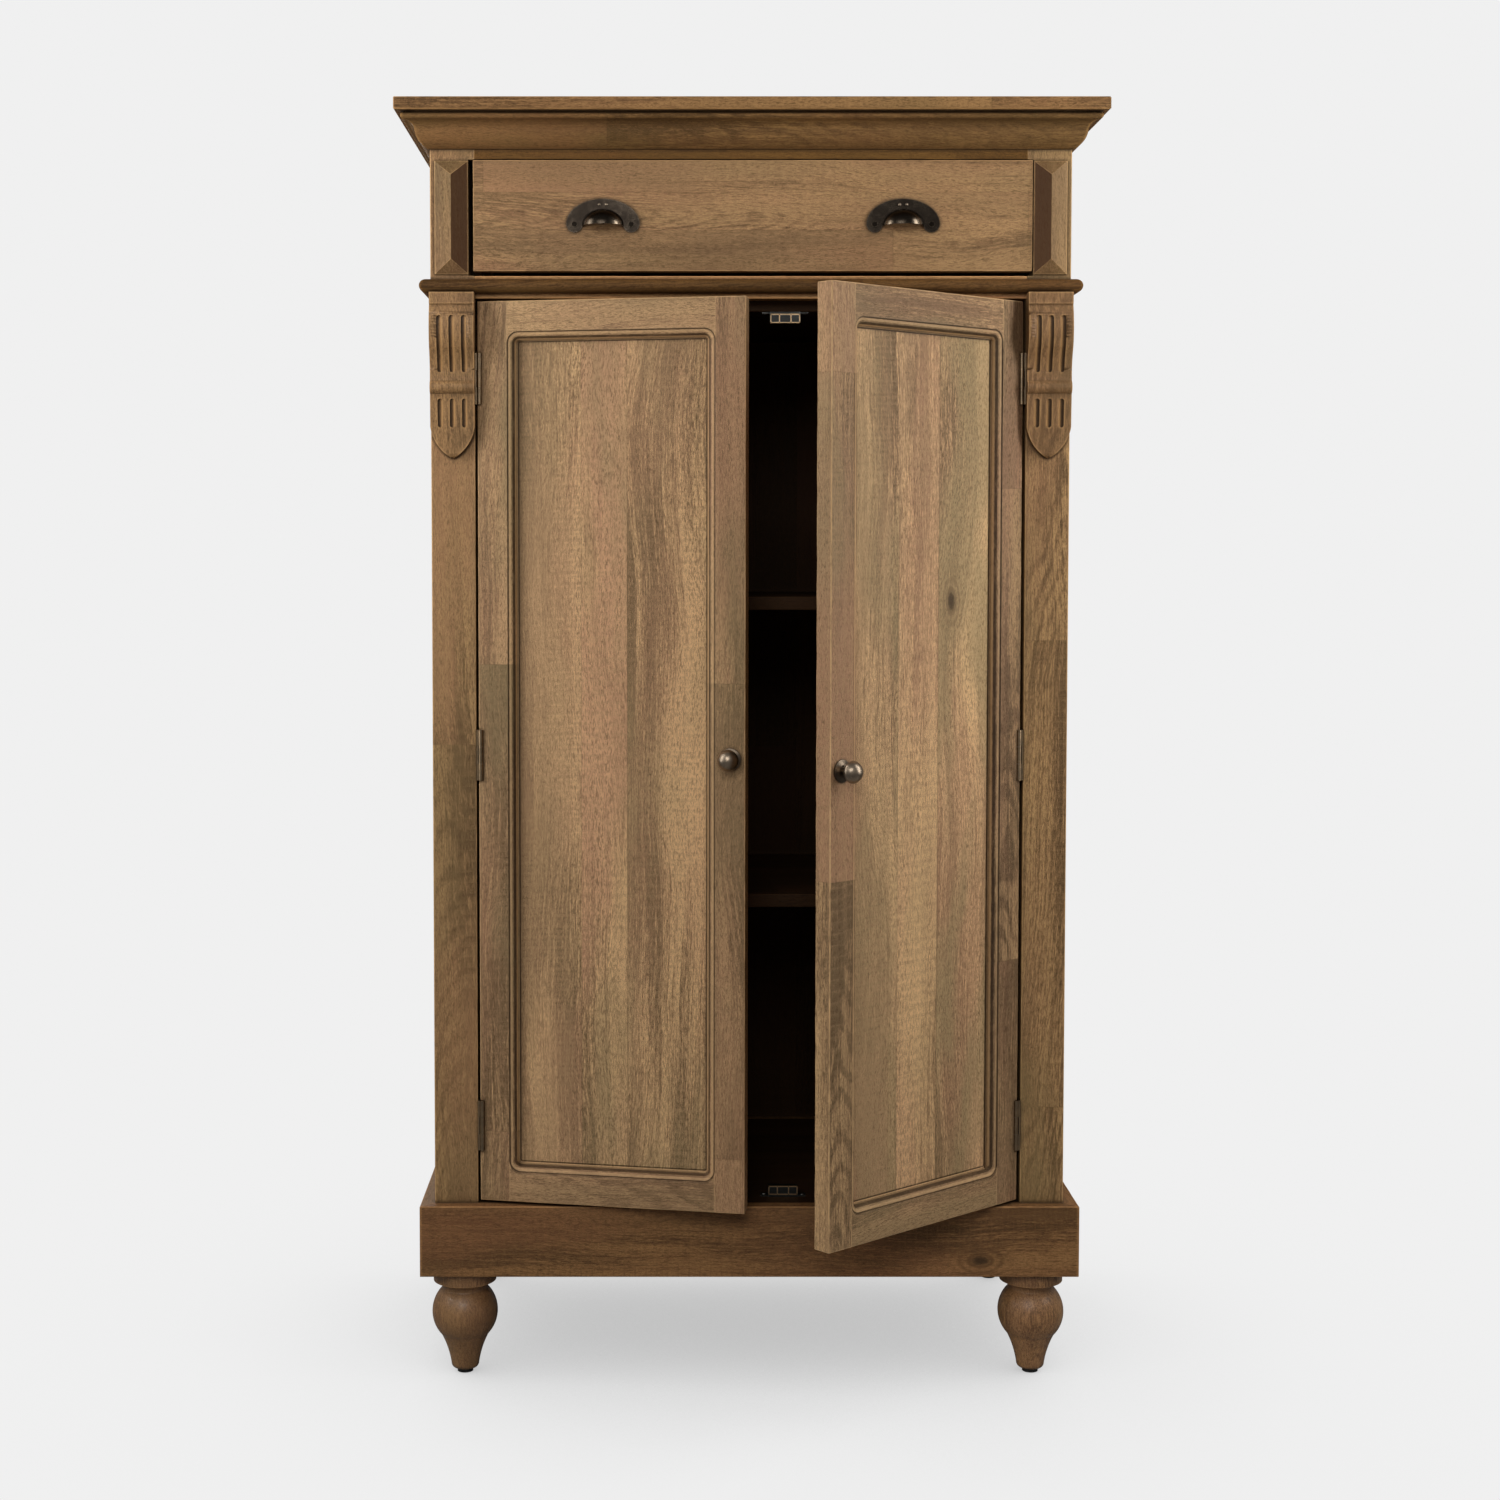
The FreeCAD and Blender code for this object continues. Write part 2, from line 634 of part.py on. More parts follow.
def make_posts():
    holes = {word: (x, y) for word, x, y in foot_places()}
    extra, groove = S["overrun"], S["groove_depth"]
    z_groove = z_floor - S["board_thickness"]
    for word, side in SIDES.items():
        body = across(side, opening_half, half_width)
        panel = across(side, *panel_zone())
        label = f"post_front_{word}"
        blank = board(f"{label}_blank", body, (front, post_back_of_front), (z_plinth, z_top))
        housing = board(
            f"{label}_housing",
            across(side, opening_half - extra, drawer_opening_half),
            (front - extra, post_back_of_front + extra),
            (z_waist, z_frieze),
        )
        slot = board(
            f"{label}_groove",
            panel,
            (post_back_of_front - groove, post_back_of_front + extra),
            (z_groove, z_top + extra),
        )
        hole = tenon_hole(f"{label}_hole", *holes[f"front_{word}"])
        finish(label, cut(label, blank, [housing, slot, hole]))

        label = f"post_rear_{word}"
        blank = board(f"{label}_blank", body, (post_front_of_rear, back), (z_plinth, z_top))
        rebate = board(
            f"{label}_rebate",
            across(side, opening_half - extra, opening_half + S["back_rebate"]),
            (back - S["back_thickness"], back + extra),
            (z_floor, z_top + extra),
        )
        slot = board(
            f"{label}_groove",
            panel,
            (post_front_of_rear - extra, post_front_of_rear + groove),
            (z_groove, z_top + extra),
        )
        hole = tenon_hole(f"{label}_hole", *holes[f"rear_{word}"])
        finish(label, cut(label, blank, [rebate, slot, hole]))


def make_side_frames():
    """Three rails and two panels on each side, held in the grooves of the posts and the rails."""
    groove, gap = S["groove_depth"], S["panel_gap"]
    rails = (
        ("bottom", z_floor - S["board_thickness"], S["side_bottom_rail"]),
        ("middle", z_waist - S["side_middle_rail"], S["side_middle_rail"]),
        ("top", z_frieze, z_top - z_frieze),
    )
    tongue_ys = (post_back_of_front - groove, post_front_of_rear + groove)
    panel_ys = (tongue_ys[0] + gap, tongue_ys[1] - gap)
    for word, side in SIDES.items():
        zone = across(side, *panel_zone())
        faces = across(side, side_inner, half_width)
        pieces = []
        for name, low, height in rails:
            label = f"side_rail_{name}_{word}"
            high = low + height
            main = board(f"{label}_main", faces, (post_back_of_front, post_front_of_rear), (low, high))
            tongue = board(f"{label}_tongue", zone, tongue_ys, (low, high))
            slots = []
            if name != "bottom":
                slots.append((low - S["overrun"], low + groove))
            if name != "top":
                slots.append((high - groove, high + S["overrun"]))
            tools = [
                board(
                    f"{label}_groove",
                    zone,
                    (tongue_ys[0] - S["overrun"], tongue_ys[1] + S["overrun"]),
                    zs,
                )
                for zs in slots
            ]
            pieces.append(cut(label, fuse(f"{label}_blank", [main, tongue]), tools))
        finish(f"side_rails_{word}", group(f"side_rails_{word}", pieces))
        panels = []
        for index, name in enumerate(("lower", "upper")):
            low = rails[index][1] + rails[index][2] - groove + gap
            high = rails[index + 1][1] + groove - gap
            panels.append(board(f"side_panel_{name}_{word}", zone, panel_ys, (low, high)))
        finish(f"side_panels_{word}", group(f"side_panels_{word}", panels))


# Boards across the cabinet


def corner_notches(label, low, high, play, rows):
    """The room that a board leaves round the posts, in the rows named."""
    extra = S["overrun"]
    reach = {
        "front": (front - extra, post_back_of_front + play),
        "rear": (post_front_of_rear - play, back + extra),
    }
    notches = []
    for row in rows:
        for word, side in SIDES.items():
            xs = across(side, opening_half - play, half_width + extra)
            zs = (low - extra, high + extra)
            notches.append(board(f"{label}_notch_{row}_{word}", xs, reach[row], zs))
    return notches


def make_rails_across():
    ys = (front, stop_face)
    xs = (-opening_half, opening_half)
    finish("header_rail", board("header_rail", xs, ys, (z_head, z_waist)))
    ys = (front, front + S["frieze_thickness"])
    finish("frieze_rail", board("frieze_rail", xs, ys, (z_frieze, z_top)))


def make_top_board():
    reach = half_width + S["cornice_overhang"]
    ys = (front - S["cornice_overhang"], back)
    finish("top_board", board("top_board", (-reach, reach), ys, (z_top, z_crown)))


def make_back_panel():
    reach = opening_half + S["back_rebate"]
    ys = (back - S["back_thickness"], back)
    finish("back_panel", board("back_panel", (-reach, reach), ys, (z_floor, z_top)))


def make_inner_boards():
    thickness, xs = S["board_thickness"], (-side_inner, side_inner)
    inner_back = back - S["back_thickness"]
    low = z_floor - thickness
    ys = (front, back - S["plinth_back_thickness"])
    blank = board("cabinet_floor_blank", xs, ys, (low, z_floor))
    notches = corner_notches("cabinet_floor", low, z_floor, 0, ("front", "rear"))
    finish("cabinet_floor", cut("cabinet_floor", blank, notches))

    high = z_divider + thickness
    blank = board("divider_board_blank", xs, (stop_face, inner_back), (z_divider, high))
    notches = corner_notches("divider_board", z_divider, high, 0, ("front", "rear"))
    finish("divider_board", cut("divider_board", blank, notches))

    play = S["shelf_play"]
    shelves, cleats = [], []
    for name, rise in (("lower", S["lower_shelf_rise"]), ("upper", S["upper_shelf_rise"])):
        label = f"shelf_{name}"
        low = z_floor + rise
        xs = (-side_inner + play, side_inner - play)
        ys = (post_back_of_front + play, inner_back - play)
        blank = board(f"{label}_blank", xs, ys, (low, low + thickness))
        notches = corner_notches(label, low, low + thickness, play, ("rear",))
        shelves.append(cut(label, blank, notches))
        for word, side in SIDES.items():
            cleat_xs = across(side, side_inner - S["cleat_size"], side_inner)
            cleat_ys = (post_back_of_front, post_front_of_rear)
            zs = (low - S["cleat_size"], low)
            cleats.append(board(f"cleat_{name}_{word}", cleat_xs, cleat_ys, zs))
    finish("shelves", group("shelves", shelves))
    finish("shelf_cleats", group("shelf_cleats", cleats))


# Ornament on the front posts


def make_post_blocks():
    low, high = z_waist + S["block_end_gap"], z_frieze - S["block_end_gap"]
    inner, outer = drawer_opening_half, half_width - S["block_margin"]
    middle, half = (inner + outer) / 2, (outer - inner) / 2
    ridge = S["block_ridge"] / 2
    blocks = []
    for word, side in SIDES.items():
        label = f"post_block_{word}"
        base = board(
            f"{label}_base", across(side, inner, outer), (front - S["block_base"], front), (low, high)
        )
        roof = doc.addObject("Part::Wedge", f"{label}_roof")
        limits = {
            "Xmin": -half,
            "Xmax": half,
            "X2min": -ridge,
            "X2max": ridge,
            "Ymin": 0,
            "Ymax": S["block_rise"],
            "Zmin": 0,
            "Zmax": high - low,
            "Z2min": S["block_hip"],
            "Z2max": high - low - S["block_hip"],
        }
        for name, value in limits.items():
            bind(roof, name, value)
        roof.Placement.Rotation = FreeCAD.Rotation(FreeCAD.Vector(0, 0, 1), 180)
        place(roof, (side * middle, front - S["block_base"], low))
        blocks.append(fuse(label, [base, roof]))
    finish("post_blocks", group("post_blocks", blocks))


def corbel_profile():
    """Projection and height of the corbel in side view."""
    top = z_corbel
    neck = top - S["corbel_cap"]
    body = neck - S["corbel_step"]
    sweep = top - S["corbel_sweep_drop"]
    leaf = sweep - S["corbel_band"]
    tip = top - S["corbel_height"]
    belly = top - S["corbel_belly_drop"]
    band_radius = swelling(0, S["corbel_band"], S["corbel_band_swell"])
    sweep_radius = swelling(
        S["corbel_belly_proud"] - S["corbel_sweep_proud"], belly - sweep, S["corbel_sweep_hollow"]
    )
    belly_radius = swelling(
        S["corbel_belly_proud"] - S["corbel_body_proud"], body - belly, S["corbel_belly_swell"]
    )
    return [
        (0, top),
        (0, tip),
        (S["corbel_leaf_proud"], tip + S["corbel_leaf_proud"], S["corbel_leaf_proud"], 1),
        (S["corbel_sweep_proud"], leaf),
        (S["corbel_sweep_proud"], sweep, band_radius, 1),
        (S["corbel_belly_proud"], belly, sweep_radius, -1),
        (S["corbel_body_proud"], body, belly_radius, 1),
        (S["corbel_body_proud"], neck),
        (S["corbel_cap_proud"], neck),
        (S["corbel_cap_proud"], top),
    ]


def slot_outline(middle, low, high, radius):
    """A slot with round ends."""
    return [
        (middle + radius, high - radius),
        (middle, high, radius, 1),
        (middle - radius, high - radius, radius, 1),
        (middle - radius, low + radius),
        (middle, low, radius, 1),
        (middle + radius, low + radius, radius, 1),
    ]


def make_corbels():
    extra = S["overrun"]
    tip = z_corbel - S["corbel_height"]
    shoulder = tip + S["corbel_leaf_shoulder"]
    reach = S["corbel_cap_proud"] + S["corbel_belly_proud"]
    radius = S["flute_width"] / 2
    runs = (
        (S["upper_flute_drop"], S["upper_flute_length"]),
        (S["lower_flute_drop"], S["lower_flute_length"]),
    )
    for word, side in SIDES.items():
        label = f"corbel_{word}"
        low_x, high_x = across(side, opening_half, half_width)
        middle = side * (opening_half + S["post_size"] / 2)
        leaf_radius = swelling(S["post_size"] / 2, shoulder - tip, S["corbel_leaf_swell"])
        side_view = mapped(corbel_profile(), front, -1)
        body = prism(f"{label}_side", "YZ_Plane", side_view, low_x, S["post_size"])
        outline = [
            (low_x, z_corbel + extra),
            (low_x, shoulder),
            (middle, tip, leaf_radius, 1),
            (high_x, shoulder, leaf_radius, 1),
            (high_x, z_corbel + extra),
        ]
        face = prism(f"{label}_face", "XZ_Plane", outline, front + extra, reach + 2 * extra)
        floor_view = mapped(corbel_profile(), front + S["flute_depth"], -1)
        floor = prism(f"{label}_floor", "YZ_Plane", floor_view, low_x, S["post_size"])
        slots = []
        for drop, length in runs:
            high = z_corbel - drop
            for step in (-1, 0, 1):
                x = middle + step * S["flute_spacing"]
                steps = slot_outline(x, high - length, high, radius)
                slots.append(
                    prism(f"{label}_slot", "XZ_Plane", steps, front + extra, reach + 2 * extra)
                )
        flutes = cut(f"{label}_flutes", fuse(f"{label}_slots", slots), [floor])
        finish(label, cut(label, common(f"{label}_blank", body, face), [flutes]))


# Drawer and what carries it


def make_drawer_guides():
    inner = drawer_half - S["runner_lap"]
    ys = (post_back_of_front, post_front_of_rear)
    z_run = z_drawer - S["run_gap"]
    z_kick = z_drawer + S["drawer_side_height"] + S["kick_gap"]
    pieces = []
    for word, side in SIDES.items():
        base = board(
            f"runner_{word}_base",
            across(side, inner, side_inner),
            ys,
            (z_divider + S["board_thickness"], z_run),
        )
        guide = board(
            f"runner_{word}_guide",
            across(side, drawer_half + S["guide_gap"], side_inner),
            ys,
            (z_run, z_run + S["guide_height"]),
        )
        pieces.append(fuse(f"runner_{word}", [base, guide]))
        kicker_zs = (z_kick, z_kick + S["kicker_height"])
        pieces.append(board(f"kicker_{word}", across(side, inner, side_inner), ys, kicker_zs))
    finish("drawer_guides", group("drawer_guides", pieces))


def drawer_span():
    """The left and right ends of the drawer front."""
    return -drawer_opening_half + S["drawer_gap_left"], drawer_opening_half - S["drawer_gap_right"]


def pull_places():
    low, high = drawer_span()
    middle = (low + high) / 2
    for word, side in SIDES.items():
        yield word, middle + side * S["pull_spacing"] / 2, z_drawer + S["pull_rise"]


def make_drawer_box():
    inner = drawer_half - S["drawer_side_thickness"]
    groove = S["drawer_groove"]
    z_bottom = z_drawer + S["drawer_bottom_rise"]
    z_over = z_bottom + S["drawer_bottom_thickness"]
    z_side = z_drawer + S["drawer_side_height"]
    y_end = back - S["back_thickness"] - S["drawer_back_room"]
    y_start = drawer_front_back - groove
    bottom_reach = inner + groove
    bottom = board(
        "drawer_bottom", (-bottom_reach, bottom_reach), (y_start, y_end), (z_bottom, z_over)
    )
    sides = {}
    for word, side in SIDES.items():
        label = f"drawer_side_{word}"
        xs, ys = across(side, inner, drawer_half), (y_start, y_end)
        blank = board(f"{label}_blank", xs, ys, (z_drawer, z_side))
        sides[label] = (blank, cut(label, blank, [bottom]))
    holes = []
    for word, x, z in pull_places():
        for end in (-1, 1):
            holes.append(
                peg_along_y(
                    f"pull_hole_{word}",
                    x + end * S["pull_screw_spacing"] / 2,
                    z,
                    drawer_face - S["overrun"],
                    drawer_face + S["screw_length"] + S["screw_play"],
                    S["screw_radius"] + S["screw_play"],
                )
            )
    low, high = drawer_span()
    zs = (z_drawer, z_frieze - S["drawer_gap_over"])
    blank = board("drawer_front_blank", (low, high), (drawer_face, drawer_front_back), zs)
    tools = [bottom, *(blank_side for blank_side, _ in sides.values()), *holes]
    finish("drawer_front", cut("drawer_front", blank, tools))
    for label, (_, piece) in sides.items():
        finish(label, piece)
    back_zs = (z_over, z_side - S["drawer_back_drop"])
    back_ys = (y_end - S["drawer_side_thickness"], y_end)
    finish("drawer_back", board("drawer_back", (-inner, inner), back_ys, back_zs))
    finish("drawer_bottom", bottom)


def cup_shell(label, x, z, shrink):
    """Half of an egg-shaped body that stands on its mouth, smaller all round by shrink."""
    egg = doc.addObject("Part::Ellipsoid", label)
    bind(egg, "Radius1", S["pull_cup_rise"] - shrink)
    bind(egg, "Radius2", S["pull_cup_half_width"] - shrink)
    bind(egg, "Radius3", S["pull_cup_projection"] - shrink)
    return place(egg, (x, drawer_face, z))


def make_pulls():
    extra = S["overrun"]
    screws = []
    for word, x, z in pull_places():
        label = f"cup_pull_{word}"
        mouth = z - S["pull_mouth_drop"]
        reach = S["pull_half_width"] + extra
        plate_face = drawer_face - S["pull_plate_thickness"]
        outline = doc.addObject("Part::Ellipse", f"{label}_arch")
        bind(outline, "MajorRadius", S["pull_half_width"])
        bind(outline, "MinorRadius", S["pull_plate_rise"])
        outline.Placement.Rotation = FreeCAD.Rotation(FreeCAD.Vector(1, 0, 0), 90)
        place(outline, (x, drawer_face, z))
        arch = doc.addObject("Part::Extrusion", f"{label}_arch_plate")
        arch.Base = outline
        arch.DirMode = "Custom"
        arch.Dir = FreeCAD.Vector(0, -1, 0)
        arch.Solid = True
        bind(arch, "LengthFwd", S["pull_plate_thickness"])
        upper = board(
            f"{label}_upper", (x - reach, x + reach), (plate_face - extra, drawer_face), (mouth, z + reach)
        )
        lobes = []
        for end in (-1, 1):
            at = x + end * S["pull_screw_spacing"] / 2
            lobes.append(
                peg_along_y(f"{label}_lobe", at, z, plate_face, drawer_face, S["pull_lobe_radius"])
            )
        plate = fuse(f"{label}_plate", [common(f"{label}_arch_half", arch, upper), *lobes])
        cup_room = board(
            f"{label}_room",
            (x - reach, x + reach),
            (drawer_face - S["pull_cup_projection"] - extra, drawer_face),
            (mouth, z + reach),
        )
        shell = common(f"{label}_shell", cup_shell(f"{label}_outer", x, mouth, 0), cup_room)
        hollow = cup_shell(f"{label}_inner", x, mouth, S["pull_cup_wall"])
        holes = [
            peg_along_y(
                f"{label}_screw_hole",
                x + end * S["pull_screw_spacing"] / 2,
                z,
                plate_face - extra,
                drawer_face + extra,
                S["pull_hole_radius"],
            )
            for end in (-1, 1)
        ]
        body = fuse(f"{label}_body", [plate, shell])
        finish(label, cut(label, body, [hollow, *holes]))
        for end in (-1, 1):
            at = x + end * S["pull_screw_spacing"] / 2
            shank_end = drawer_face + S["screw_length"]
            shank = peg_along_y(f"screw_shank_{word}", at, z, plate_face, shank_end, S["screw_radius"])
            head_face = plate_face - S["screw_head_height"]
            head = peg_along_y(f"screw_head_{word}", at, z, head_face, plate_face, S["screw_head_radius"])
            screws.append(fuse(f"pull_screw_{word}", [shank, head]))
    finish("pull_screws", group("pull_screws", screws))


# Doors


def door_turn(word, side):
    """Where a door swings, and by how much it stands open. The left door turns clockwise from above."""
    return side * hinge_x, hinge_y, side * S[f"door_{word}_rest_angle"]


def rounded_outline(low_x, high_x, low_z, high_z, corner):
    return [
        (high_x - corner, low_z),
        (high_x, low_z + corner, corner, 1),
        (high_x, high_z - corner),
        (high_x - corner, high_z, corner, 1),
        (low_x + corner, high_z),
        (low_x, high_z - corner, corner, 1),
        (low_x, low_z + corner),
        (low_x + corner, low_z, corner, 1),
    ]


def door_frame_blank(label, side):
    """The whole door frame in one piece, with the routed moulding round its opening."""
    ring = S["door_stile"] + S["door_ring"]
    low_x, high_x = across(side, door_inner, door_outer)
    low_in, high_in = across(side, door_inner + ring, door_outer - ring)
    low_z = z_door_low + S["door_bottom_rail"] + S["door_ring"]
    high_z = z_door_high - S["door_top_rail"] - S["door_ring"]
    body = doc.addObject("PartDesign::Body", f"{label}_frame")
    sheet_outline = [
        (low_x, z_door_low),
        (high_x, z_door_low),
        (high_x, z_door_high),
        (low_x, z_door_high),
    ]
    pad = body.newObject("PartDesign::Pad", f"{label}_frame_pad")
    pad.Profile = draw(body, "XZ_Plane", sheet_outline)
    bind(pad, "Length", S["door_thickness"])
    sinkings = (
        ("quirk", S["door_ring"], S["door_ring_quirk"]),
        ("ledge", S["door_ring_ledge"], S["door_ring"] - S["door_ring_ledge_drop"]),
        ("opening", as_size(0), S["door_thickness"]),
    )
    for name, wider, depth in sinkings:
        outline = rounded_outline(
            low_in - wider,
            high_in + wider,
            low_z - wider,
            high_z + wider,
            S["door_ring_corner"] + wider,
        )
        pocket = body.newObject("PartDesign::Pocket", f"{label}_frame_{name}")
        pocket.Profile = draw(body, "XZ_Plane", outline, S["door_thickness"])
        pocket.Type = "Length"
        bind(pocket, "Length", depth)
    place(body, (0, door_back, 0))
    doc.recompute()
    between = (S["door_ring"] + S["door_ring_ledge"]) / 2
    limits = (low_in - between, high_in + between, low_z - between, high_z + between)
    names = [
        f"Edge{number}"
        for number, edge in enumerate(pocket.Shape.Edges, start=1)
        if is_moulding_edge(edge, [limit.number for limit in limits])
    ]
    round_over = body.newObject("PartDesign::Fillet", f"{label}_frame_moulding")
    round_over.Base = (pocket, names)
    bind(round_over, "Radius", S["door_ring"] - S["door_ring_quirk"] - S["door_ring_ledge"])
    body.Tip = round_over
    groove = board(
        f"{label}_frame_groove",
        (low_in - S["door_groove"], high_in + S["door_groove"]),
        (front + S["door_ring"], front + S["door_ring"] + S["door_panel_thickness"]),
        (low_z - S["door_groove"], high_z + S["door_groove"]),
    )
    return cut(f"{label}_frame_grooved", body, [groove])


def is_moulding_edge(edge, limits):
    """True for an edge at the bottom of the quirk and inside the limits, in the door blank."""
    box = edge.BoundBox
    level = S["door_ring_quirk"].number - S["door_thickness"].number
    near = TOUCH_SHARE * S["door_ring_quirk"].number
    on_level = abs(box.YMin - level) < near and abs(box.YMax - level) < near
    low_x, high_x, low_z, high_z = limits
    inside = box.XMin > low_x and box.XMax < high_x and box.ZMin > low_z and box.ZMax < high_z
    return on_level and inside


def make_doors():
    ring = S["door_stile"] + S["door_ring"]
    extra = S["overrun"]
    for word, side in SIDES.items():
        label = f"door_{word}"
        turn = door_turn(word, side)
        frame = door_frame_blank(label, side)
        ys = (front - extra, door_back + extra)
        low_rail = (z_door_low, z_door_low + S["door_bottom_rail"] + S["door_ring"])
        high_rail = (z_door_high - S["door_top_rail"] - S["door_ring"], z_door_high)
        stile = S["door_stile"]
        tenon_ys = (front + S["door_ring"], front + S["door_ring"] + S["door_panel_thickness"])
        rails, tenons = {}, []
        for name, zs in (("bottom", low_rail), ("top", high_rail)):
            region = board(
                f"{label}_{name}_region", across(side, door_inner + stile, door_outer - stile), ys, zs
            )
            main = common(f"{label}_{name}_main", frame, region)
            ends = []
            for inner, outer in (
                (door_inner + stile - S["door_tenon"], door_inner + stile),
                (door_outer - stile, door_outer - stile + S["door_tenon"]),
            ):
                flush = S["door_ring"]
                tenon_zs = (zs[0], zs[1] - flush) if name == "bottom" else (zs[0] + flush, zs[1])
                ends.append(
                    board(f"{label}_{name}_tenon", across(side, inner, outer), tenon_ys, tenon_zs)
                )
            tenons += ends
            rails[name] = fuse(f"{label}_{name}_rail", [main, *ends])
        stiles = (
            ("lock", door_inner, door_inner + stile, door_inner + ring),
            ("hinge", door_outer - stile, door_outer, door_outer - ring),
        )
        for name, inner, outer, ring_edge in stiles:
            flat = board(
                f"{label}_{name}_flat", across(side, inner, outer), ys, (z_door_low, z_door_high)
            )
            strip_xs = (outer, ring_edge) if name == "lock" else (ring_edge, inner)
            strip = board(
                f"{label}_{name}_strip", across(side, *strip_xs), ys, (low_rail[1], high_rail[0])
            )
            region = fuse(f"{label}_{name}_region", [flat, strip])
            tools = list(tenons)
            if name == "hinge":
                tools += hinge_recesses(word, side)
            else:
                tools.append(knob_hole(word, side))
            blank = common(f"{label}_{name}_blank", frame, region)
            piece = cut(f"{label}_{name}_stile", blank, tools)
            finish(f"{label}_{name}_stile", piece, turn)
        for name, rail in rails.items():
            finish(f"{label}_{name}_rail", rail, turn)
        gap = S["panel_gap"]
        reach = S["door_groove"] - gap
        panel = board(
            f"{label}_panel",
            across(side, door_inner + ring - reach, door_outer - ring + reach),
            tenon_ys,
            (low_rail[1] - reach, high_rail[0] + reach),
            turn,
        )
        finish(f"{label}_panel", panel)
        make_strikes(word, side, turn)
        make_knob(word, side, turn)


def hinge_levels():
    return [z_door_low + S["hinge_end"], z_door_middle, z_door_high - S["hinge_end"]]


def hinge_recesses(word, side):
    """What a hinge stile gives up for the knuckles, and for the leaves let into its edge."""
    room = S["hinge_barrel_radius"] + S["hinge_knuckle_gap"]
    tools = []
    for middle in hinge_levels():
        half = S["hinge_height"] / 2
        zs = (middle - half - S["hinge_knuckle_gap"], middle + half + S["hinge_knuckle_gap"])
        xs = across(side, hinge_x - room, door_outer + S["overrun"])
        ys = (front - S["overrun"], hinge_y + room)
        tools.append(board(f"hinge_room_{word}", xs, ys, zs))
        xs = across(side, door_outer - S["hinge_leaf_thickness"], door_outer + S["overrun"])
        ys = (front - S["overrun"], hinge_y + S["hinge_leaf_width"])
        tools.append(board(f"hinge_mortise_{word}", xs, ys, (middle - half, middle + half)))
    return tools


def make_hinges():
    """Three butt hinges a side. The outer knuckles and the pin stay on the post."""
    fixed = []
    half, gap, third = S["hinge_height"] / 2, S["hinge_knuckle_gap"], S["hinge_height"] / 3
    room = S["hinge_barrel_radius"] + gap
    radius, web = S["hinge_barrel_radius"], S["hinge_web"] / 2
    for word, side in SIDES.items():
        moving = []
        for middle in hinge_levels():
            knuckles = (
                ("fixed", middle - half, middle - half + third - gap),
                ("moving", middle - half + third, middle + half - third),
                ("fixed", middle + half - third + gap, middle + half),
            )
            solids = {"fixed": [], "moving": []}
            for owner, low, high in knuckles:
                barrel = post_along_z(f"knuckle_{word}", side * hinge_x, hinge_y, low, high, radius)
                solids[owner].append(barrel)
                if owner == "fixed":
                    xs = across(side, hinge_x, opening_half)
                    web_ys = (hinge_y - web, hinge_y + web)
                    solids[owner].append(board(f"web_{word}", xs, web_ys, (low, high)))
            post_face = across(side, opening_half - S["hinge_leaf_thickness"], opening_half)
            leaf_ys = (hinge_y - web, hinge_y + S["hinge_leaf_width"])
            leaf_zs = (middle - half, middle + half)
            solids["fixed"].append(board(f"post_leaf_{word}", post_face, leaf_ys, leaf_zs))
            door_face = across(side, door_outer - S["hinge_leaf_thickness"], door_outer)
            leaf_ys = (hinge_y + room, hinge_y + S["hinge_leaf_width"])
            solids["moving"].append(board(f"door_leaf_{word}", door_face, leaf_ys, leaf_zs))
            tongue_zs = (middle - half + third, middle + half - third)
            tongue_ys = (hinge_y, hinge_y + room)
            solids["moving"].append(board(f"leaf_tongue_{word}", door_face, tongue_ys, tongue_zs))
            pin = post_along_z(
                f"pin_{word}",
                side * hinge_x,
                hinge_y,
                middle - half,
                middle + half,
                S["hinge_pin_radius"],
            )
            bore = post_along_z(
                f"bore_{word}",
                side * hinge_x,
                hinge_y,
                middle - half,
                middle + half,
                S["hinge_pin_radius"] + S["hinge_pin_play"],
            )
            fixed.append(fuse(f"post_hinge_{word}", [*solids["fixed"], pin]))
            leaf = fuse(f"door_hinge_{word}", solids["moving"])
            moving.append(cut(f"door_hinge_bored_{word}", leaf, [bore]))
        leaves = group(f"door_{word}_hinge_leaves", moving)
        finish(f"door_{word}_hinge_leaves", leaves, door_turn(word, side))
    finish("post_hinge_leaves", group("post_hinge_leaves", fixed))


def knob_place(side):
    return side * (door_inner + S["door_stile"] / 2), z_door_middle


def knob_hole(word, side):
    x, z = knob_place(side)
    deep = front + S["knob_stud_length"] + S["screw_play"]
    radius = S["knob_stud_radius"] + S["screw_play"]
    return peg_along_y(f"knob_hole_{word}", x, z, front - S["overrun"], deep, radius)


def make_knob(word, side, turn):
    """A domed rose, a neck and a ball head, turned about the axis that points out of the door."""
    head = S["knob_projection"] - S["knob_head_middle"]
    radius = S["knob_head_radius"]
    dome_radius = (radius * radius + head * head) / (2 * head)
    flare = S["knob_head_under"]
    steps = [
        (0, S["knob_stud_length"]),
        (0, -S["knob_projection"]),
        (radius, -S["knob_head_middle"], dome_radius, 1),
        (flare, -S["knob_head_start"]),
        (S["knob_neck_radius"], -S["knob_neck_top"]),
        (S["knob_neck_radius"], -S["knob_rose_height"]),
        (S["knob_shoulder_radius"], -S["knob_rose_height"]),
        (S["knob_rose_radius"], -S["knob_rose_edge"]),
        (S["knob_rose_radius"], 0),
        (S["knob_stud_radius"], 0),
        (S["knob_stud_radius"], S["knob_stud_length"]),
    ]
    x, z = knob_place(side)
    knob = turning(f"door_{word}_knob", "XY_Plane", steps)
    finish(f"door_{word}_knob", place(knob, (x, front, z), turn))


# Magnetic catches


